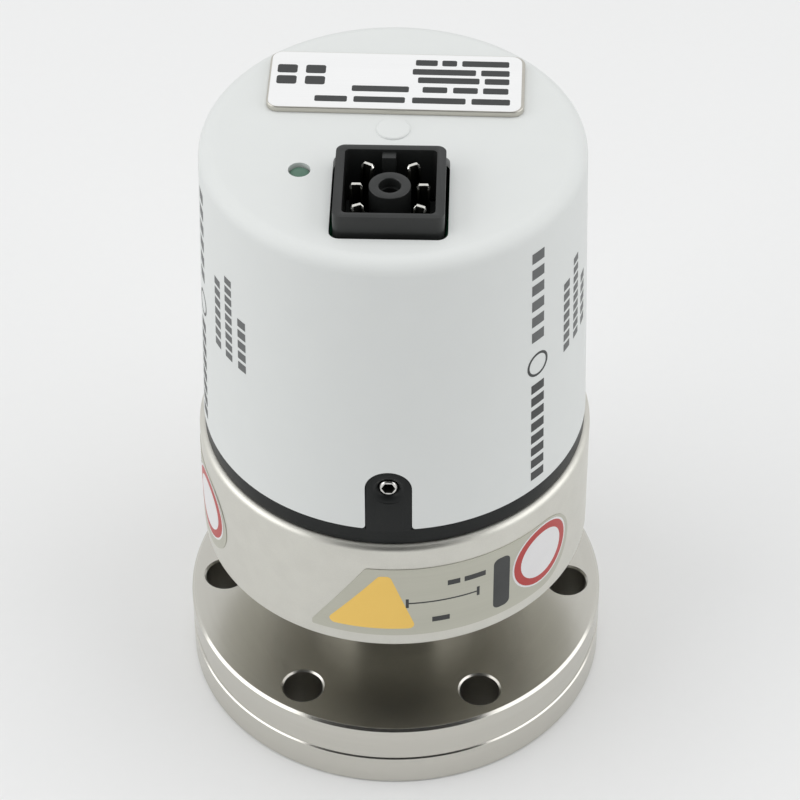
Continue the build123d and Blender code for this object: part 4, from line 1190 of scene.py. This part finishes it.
@dataclass
class CapPrint:
    """Plain bars that run up the cap's side."""

    cap: Cap
    lift: float = 0.012
    thickness: float = 0.015

    def band(self, name: str, bearing: float, bars: Sequence[tuple[float, float, float]], width: float, finish: Finish) -> None:
        """Print a row of bars up the cap.

        Args:
            name: The piece's name.
            bearing: Degrees of the row's middle.
            bars: Each bar as (sideways place, low, high) in millimetres.
            width: Width of a bar along the arc.
            finish: The ink.
        """
        parts = []
        for aside, low, high in bars:
            piece = flat_outline("bar", rectangle_between(aside - width / 2, aside + width / 2, low, high))
            columns(piece, 0.7)
            rest()
            parts.append(piece)
        self.lay(join(name, parts), bearing, (bars[0][1] + bars[-1][2]) / 2, finish)

    def lay(self, piece: bpy.types.Object, bearing: float, height: float, finish: Finish) -> None:
        """Bend flat print round the cap, lay it on the wall and place it."""
        take(piece)
        radius = self.cap.radius(height)
        across = [vertex.co.x for vertex in piece.data.vertices]
        bend = piece.modifiers.new("bend", "SIMPLE_DEFORM")
        bend.deform_method = "BEND"
        bend.deform_axis = "Z"
        bend.angle = (max(across) - min(across)) / (radius * MM)
        bpy.ops.object.modifier_apply(modifier=bend.name)
        set_down(piece, (0.0, 0.0, radians(bearing)), Vector((*at_bearing(bearing, radius), 0)) * MM)
        settle(piece, self.cap.body, self.lift)
        edit(piece)
        bpy.ops.mesh.normals_make_consistent(inside=False)
        rest()
        for polygon in piece.data.polygons:
            if polygon.normal.dot(Vector((polygon.center.x, polygon.center.y, 0))) < 0:
                polygon.flip()
        thicken(piece, self.thickness)
        place(piece, finish, Slot.CAP)

    @staticmethod
    def row(low: float, high: float, count: int, share: float, aside: float = 0.0) -> list[tuple[float, float, float]]:
        """Evenly spaced bars between two heights, each a share of its pitch."""
        pitch = (high - low) / (count - 1 + share)
        return [(aside, low + pitch * index, low + pitch * (index + share)) for index in range(count)]

    def ring(self, name: str, bearing: float, height: float, finish: Finish) -> None:
        """Print a plain ring on the cap."""
        piece = flat_outline(name, circle(2.3, 0.0, height, 40))
        bpy.ops.mesh.inset(thickness=0.45 * MM)
        bpy.ops.mesh.delete(type="FACE")
        columns(piece, 0.7)
        rest()
        self.lay(piece, bearing, height, finish)

    def build(self) -> None:
        """Print both sets of bars."""
        for side, start in (("right", 48.2), ("left", -76.3)):
            self.band(f"{side}_bold_bars", start, self.row(57.9, 77.8, 8, 0.66), 2.9, FINISH.ink_black)
            self.ring(f"{side}_ring", start, 81.6, FINISH.ink_black)
            self.band(f"{side}_light_bars", start, self.row(86.4, 103.8, 6, 0.62), 2.7, FINISH.ink_grey)
        for side, start in (("right", 63.0), ("left", -61.5)):
            for index, (low, high, count) in enumerate(((79.0, 92.6, 7), (79.0, 95.1, 9), (79.0, 89.1, 5))):
                bearing = start + index * 6.6
                self.band(f"{side}_line_{index}", bearing, self.row(low, high, count, 0.7), 1.9, FINISH.ink_grey)


# ---- Connector ----


@dataclass
class Connector:
    """Square shroud with its floor, centre boss and channel contacts."""

    y: float = -14.55
    width: float = 16.5
    depth: float = 17.0
    side_wall: float = 1.35
    end_wall: float = 1.1
    low_z: float = 94.6
    high_z: float = 112.4
    carrier_top_z: float = 103.0
    carrier_h: float = 2.0
    boss_top_z: float = 111.6
    pins: tuple[tuple[float, float, float], ...] = (
        (-3.55, 4.8, -28.0), (3.5, 4.75, 28.0), (-5.0, 0.0, 0.0), (5.0, 0.0, 0.0), (-4.6, -4.85, 24.0), (4.55, -4.95, -24.0))

    @property
    def cavity(self) -> Corner:
        """Width and depth of the cavity."""
        return self.width - 2 * self.side_wall, self.depth - 2 * self.end_wall

    def make_shell(self) -> bpy.types.Object:
        """Mould the shroud with its cavity, seat and key."""
        width, depth = self.cavity
        shell = prism("shroud", rectangle(self.width, self.depth, 1.4, 0.0, self.y), self.low_z, self.high_z)
        cavity = prism("cavity", rectangle(width, depth, 0.7, 0.0, self.y), self.carrier_top_z, self.high_z + 1)
        throat = prism("throat", rectangle(width - 0.8, depth - 0.8, 0.0, 0.0, self.y), self.low_z - 1, self.carrier_top_z + 0.5)
        seat = prism("seat", rectangle(width, depth, 0.0, 0.0, self.y), self.carrier_top_z - 2, self.carrier_top_z + 0.05)
        cut(shell, [cavity, throat, seat])
        key = prism("key", rectangle(2.1, 1.6, 0.15, -0.3, self.y + depth / 2 - 0.6), self.high_z - 5.5, self.high_z - 0.5)
        round_edges(key, 0.12, 50, 2)
        combine(shell, key, "UNION")
        round_edges(shell, 0.2, 50, 3)
        smooth(shell)
        return shell

    def make_carrier(self) -> bpy.types.Object:
        """Mould the insulating floor with its boss and contact slots."""
        width, depth = self.cavity
        low = self.carrier_top_z - self.carrier_h
        floor = prism("carrier", rectangle(width - 0.1, depth - 0.1, 0.0, 0.0, self.y), low, self.carrier_top_z)
        boss = turn_profile("boss", rounded([
            (0.0, low + 0.5), (3.15, low + 0.5), (3.15, self.boss_top_z, 0.15), (1.65, self.boss_top_z, 0.2),
            (1.65, 110.0), (1.3, 110.0), (1.3, 104.0), (0.0, 104.0),
        ], points=3), 64, (0.0, self.y), closed=False)
        combine(floor, boss, "UNION")
        for x, y, turn in self.pins:
            slot = prism("slot", rectangle(2.19, 1.34), low - 1, self.carrier_top_z + 1)
            move(slot, turn, (x, self.y + y, 0.0))
            cut(floor, [slot])
        smooth(floor)
        return floor

    def make_pin(self) -> bpy.types.Object:
        """Extrude one channel contact, open towards -Y, at the axis, and shape its tip."""
        outline = rounded([
            (-0.975, -0.55), (-0.625, -0.55), (-0.625, 0.2), (0.625, 0.2), (0.625, -0.55), (0.975, -0.55),
            (0.975, 0.55, 0.25), (-0.975, 0.55, 0.25),
        ], points=4)
        top = self.boss_top_z
        pin = prism("contact", outline, self.low_z, top)
        slope = prism("slope", [(-0.9, top - 3.4), (-0.1, top - 0.75), (0.2, top - 0.17), (0.6, top), (0.6, top + 1), (-0.9, top + 1)], -1.5, 1.5)
        set_down(slope, (radians(90), 0.0, radians(90)), Vector((0, 0, 0)))
        right = [(1.2, self.low_z - 1), (1.2, top - 0.763), (0.24, top + 0.5)]
        roof = prism("roof", right + [(-x, z) for x, z in reversed(right)], -1.5, 1.5, upright=True)
        combine(pin, roof, "INTERSECT")
        cut(pin, [slope])
        round_edges(pin, 0.04, 50, 2)
        smooth(pin)
        return pin

    def build(self) -> None:
        """Make and place the connector's pieces."""
        place(self.make_shell(), FINISH.connector_black, Slot.BLACK, "socket_shell")
        place(self.make_carrier(), FINISH.connector_black, Slot.BLACK, "contact_carrier")
        master = self.make_pin()
        for number, (x, y, turn) in enumerate(self.pins, start=1):
            pin = twin(master, f"channel_contact_{number}")
            move(pin, turn, (x, self.y + y, 0.0))
            place(pin, FINISH.tin, Slot.CONTACT, f"contact_pin_{number}")
            # Painted shade: below its tip each contact takes a dark finish that stands in for the shade inside the
            # cavity.
            dress_part(pin, FINISH.painted_shade_contact, lambda middle, _normal: middle.z < self.boss_top_z - 0.5)
        bpy.data.objects.remove(master)


# ---- Carried-over pieces ----


@dataclass(frozen=True)
class InnerPieces:
    """Inner pieces whose solids stay and get a procedural finish."""

    finishes: tuple[tuple[Finish, tuple[str, ...]], ...] = (
        (FINISH.ferrite, ("lower_magnet", "upper_magnet")),
        (FINISH.aluminium, ("magnet_spacer",)),
        (FINISH.satin_nickel, ("magnet_cover",)),
        (FINISH.rubber, ("chamber_seal",)),
        (FINISH.glass, ("glass_insulator", "filament_header")),
        (FINISH.bright_steel, (
            "magnet_grub_screw", "support_ring", "sensor_flange", "feedthrough_eyelet", "anode_pin", "igniter",
            "filament_tube", "filament_pins", "filament", "pressure_piece", "clamp_screws", "board_screws", "cap_screws")),
        (FINISH.brass, ("high_voltage_socket", "lower_posts", "middle_posts", "cap_posts")),
        (FINISH.component, ("filament_socket", "multiplier", "chips", "board_link")),
        (FINISH.board, ("main_board", "upper_board")),
        (FINISH.winding, ("transformer",)),
        (FINISH.can, ("capacitors",)),
        (FINISH.trimmer_blue, ("trimmer",)),
        (FINISH.lamp, ("status_lamp",)),
    )

    def build(self) -> None:
        """Assign each finish to its nodes' material slots."""
        for finish, names in self.finishes:
            for name in names:
                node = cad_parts[name]
                if not node.material_slots:
                    node.data.materials.append(finish.build())
                for slot in node.material_slots:
                    slot.material = finish.build()


# ---- Studio ----


@dataclass
class Studio:
    """Camera at the photograph's angle, pale floor and soft light."""

    focal_px: float = 3239.67
    distance: float = 0.528544
    elevation: float = 43.044
    bearing: float = 2.05
    roll: float = -0.411
    target: Place = (-0.000305, 0.0, 0.054386)
    centre_px: Corner = (392.794, 400.882)
    frame_px: float = 800.0
    sensor: float = 36.0
    floor_color: Color = (0.845, 0.85, 0.85)

    def add_camera(self) -> None:
        """Create the camera and make it the scene's."""
        turn, lift = radians(self.bearing), radians(self.elevation)
        back = Vector((cos(lift) * sin(turn), -cos(lift) * cos(turn), sin(lift)))
        across = Vector((cos(turn), sin(turn), 0))
        up = across.cross(-back)
        roll = radians(self.roll)
        x_axis = across * cos(roll) + up * sin(roll)
        y_axis = up * cos(roll) - across * sin(roll)
        rest()
        bpy.ops.object.camera_add()
        camera = bpy.context.object
        camera.name = "photo_camera"
        turned = Matrix((x_axis, y_axis, back)).transposed().to_4x4()
        camera.matrix_world = Matrix.Translation(Vector(self.target) + back * self.distance) @ turned
        camera.data.sensor_width = self.sensor
        camera.data.lens = self.focal_px / self.frame_px * self.sensor
        camera.data.shift_x = (self.frame_px / 2 - self.centre_px[0]) / self.frame_px
        camera.data.shift_y = (self.centre_px[1] - self.frame_px / 2) / self.frame_px
        camera.data.clip_start = 0.01
        bpy.context.scene.camera = camera

    def add_floor(self) -> None:
        """Lay a wide pale floor."""
        rest()
        bpy.ops.mesh.primitive_plane_add(size=6.0)
        floor = bpy.context.object
        floor.name = "floor"
        finish = Finish("floor_paper", self.floor_color, tuple(c * 0.99 for c in self.floor_color), 0.75, 0.05, grain=2.0, bump=0.0, specular=0.0)
        dress(floor, finish)

    def add_light(self, name: str, spot: Place, aim: Place, size: Corner, power: float) -> bpy.types.Object:
        """Hang one soft area lamp.

        Args:
            name: The lamp's name.
            spot: Where it hangs, in metres.
            aim: What it points at, in metres.
            size: Its width and height, in metres.
            power: Watts.

        Returns:
            The lamp.
        """
        rest()
        bpy.ops.object.light_add(type="AREA", location=spot)
        lamp = bpy.context.object
        lamp.name = name
        lamp.data.shape = "RECTANGLE"
        lamp.data.size, lamp.data.size_y = size
        lamp.data.energy = power
        lamp.rotation_euler = (Vector(aim) - Vector(spot)).to_track_quat("-Z", "Y").to_euler()
        return lamp

    def add_dark_card(self) -> None:
        """Stand a dark card behind the camera, so that the metal has something dark to show."""
        rest()
        bpy.ops.mesh.primitive_plane_add(size=1.25)
        card = bpy.context.object
        card.name = "dark_card"
        set_down(card, (radians(55), 0.0, 0.0), Vector((0.02, -0.60, 0.545)))
        dress(card, Finish("dark_cloth", (0.03, 0.03, 0.03), (0.02, 0.02, 0.02), 0.9, 0.05, grain=2.0, bump=0.0))
        card.visible_camera = card.visible_diffuse = card.visible_shadow = card.visible_transmission = False

    def add_world(self) -> None:
        """Light the room plainly and show a pale backdrop to the camera and to gloss."""
        world = bpy.data.worlds.new("studio")
        bpy.context.scene.world = world
        world.use_nodes = True
        tree = world.node_tree
        tree.nodes.clear()
        out = tree.nodes.new("ShaderNodeOutputWorld")
        plain = tree.nodes.new("ShaderNodeBackground")
        plain.inputs["Color"].default_value = (1.0, 1.0, 1.0, 1.0)
        plain.inputs["Strength"].default_value = 0.47
        seen = tree.nodes.new("ShaderNodeBackground")
        seen.inputs["Color"].default_value = (0.84, 0.845, 0.85, 1.0)
        path = tree.nodes.new("ShaderNodeLightPath")
        either = tree.nodes.new("ShaderNodeMath")
        either.operation = "MAXIMUM"
        any_of = tree.nodes.new("ShaderNodeMath")
        any_of.operation = "MAXIMUM"
        mix = tree.nodes.new("ShaderNodeMixShader")
        tree.links.new(path.outputs["Is Camera Ray"], either.inputs[0])
        tree.links.new(path.outputs["Is Transmission Ray"], either.inputs[1])
        tree.links.new(either.outputs[0], any_of.inputs[0])
        tree.links.new(path.outputs["Is Glossy Ray"], any_of.inputs[1])
        tree.links.new(any_of.outputs[0], mix.inputs[0])
        tree.links.new(plain.outputs[0], mix.inputs[1])
        tree.links.new(seen.outputs[0], mix.inputs[2])
        tree.links.new(mix.outputs[0], out.inputs["Surface"])

    def build(self) -> None:
        """Set up the whole studio."""
        self.add_camera()
        self.add_floor()
        self.add_world()
        aim = (0.0, 0.0, 0.06)
        overhead = self.add_light("overhead_softbox", (0.0, 0.06, 0.95), (0.0, 0.06, 0.0), (0.9, 0.9), 3.8)
        overhead.visible_glossy = False
        self.add_light("left_softbox", (-0.85, -0.22, 0.46), aim, (1.1, 0.8), 3.8)
        self.add_light("right_softbox", (0.85, -0.14, 0.46), aim, (1.1, 0.8), 3.0)
        self.add_dark_card()
        bpy.context.scene.view_settings.view_transform = "Standard"


def main() -> None:
    """Build the studio and every sub-assembly in order."""
    logging.basicConfig(level=logging.INFO, format="%(relativeCreated)d %(message)s")
    for assembly in (Studio(), VacuumBody(), MagnetUnit(), Chassis(), Cap(), Connector(), InnerPieces()):
        LOG.info("building %s", type(assembly).__name__)
        assembly.build()


if __name__ == "__main__":
    main()
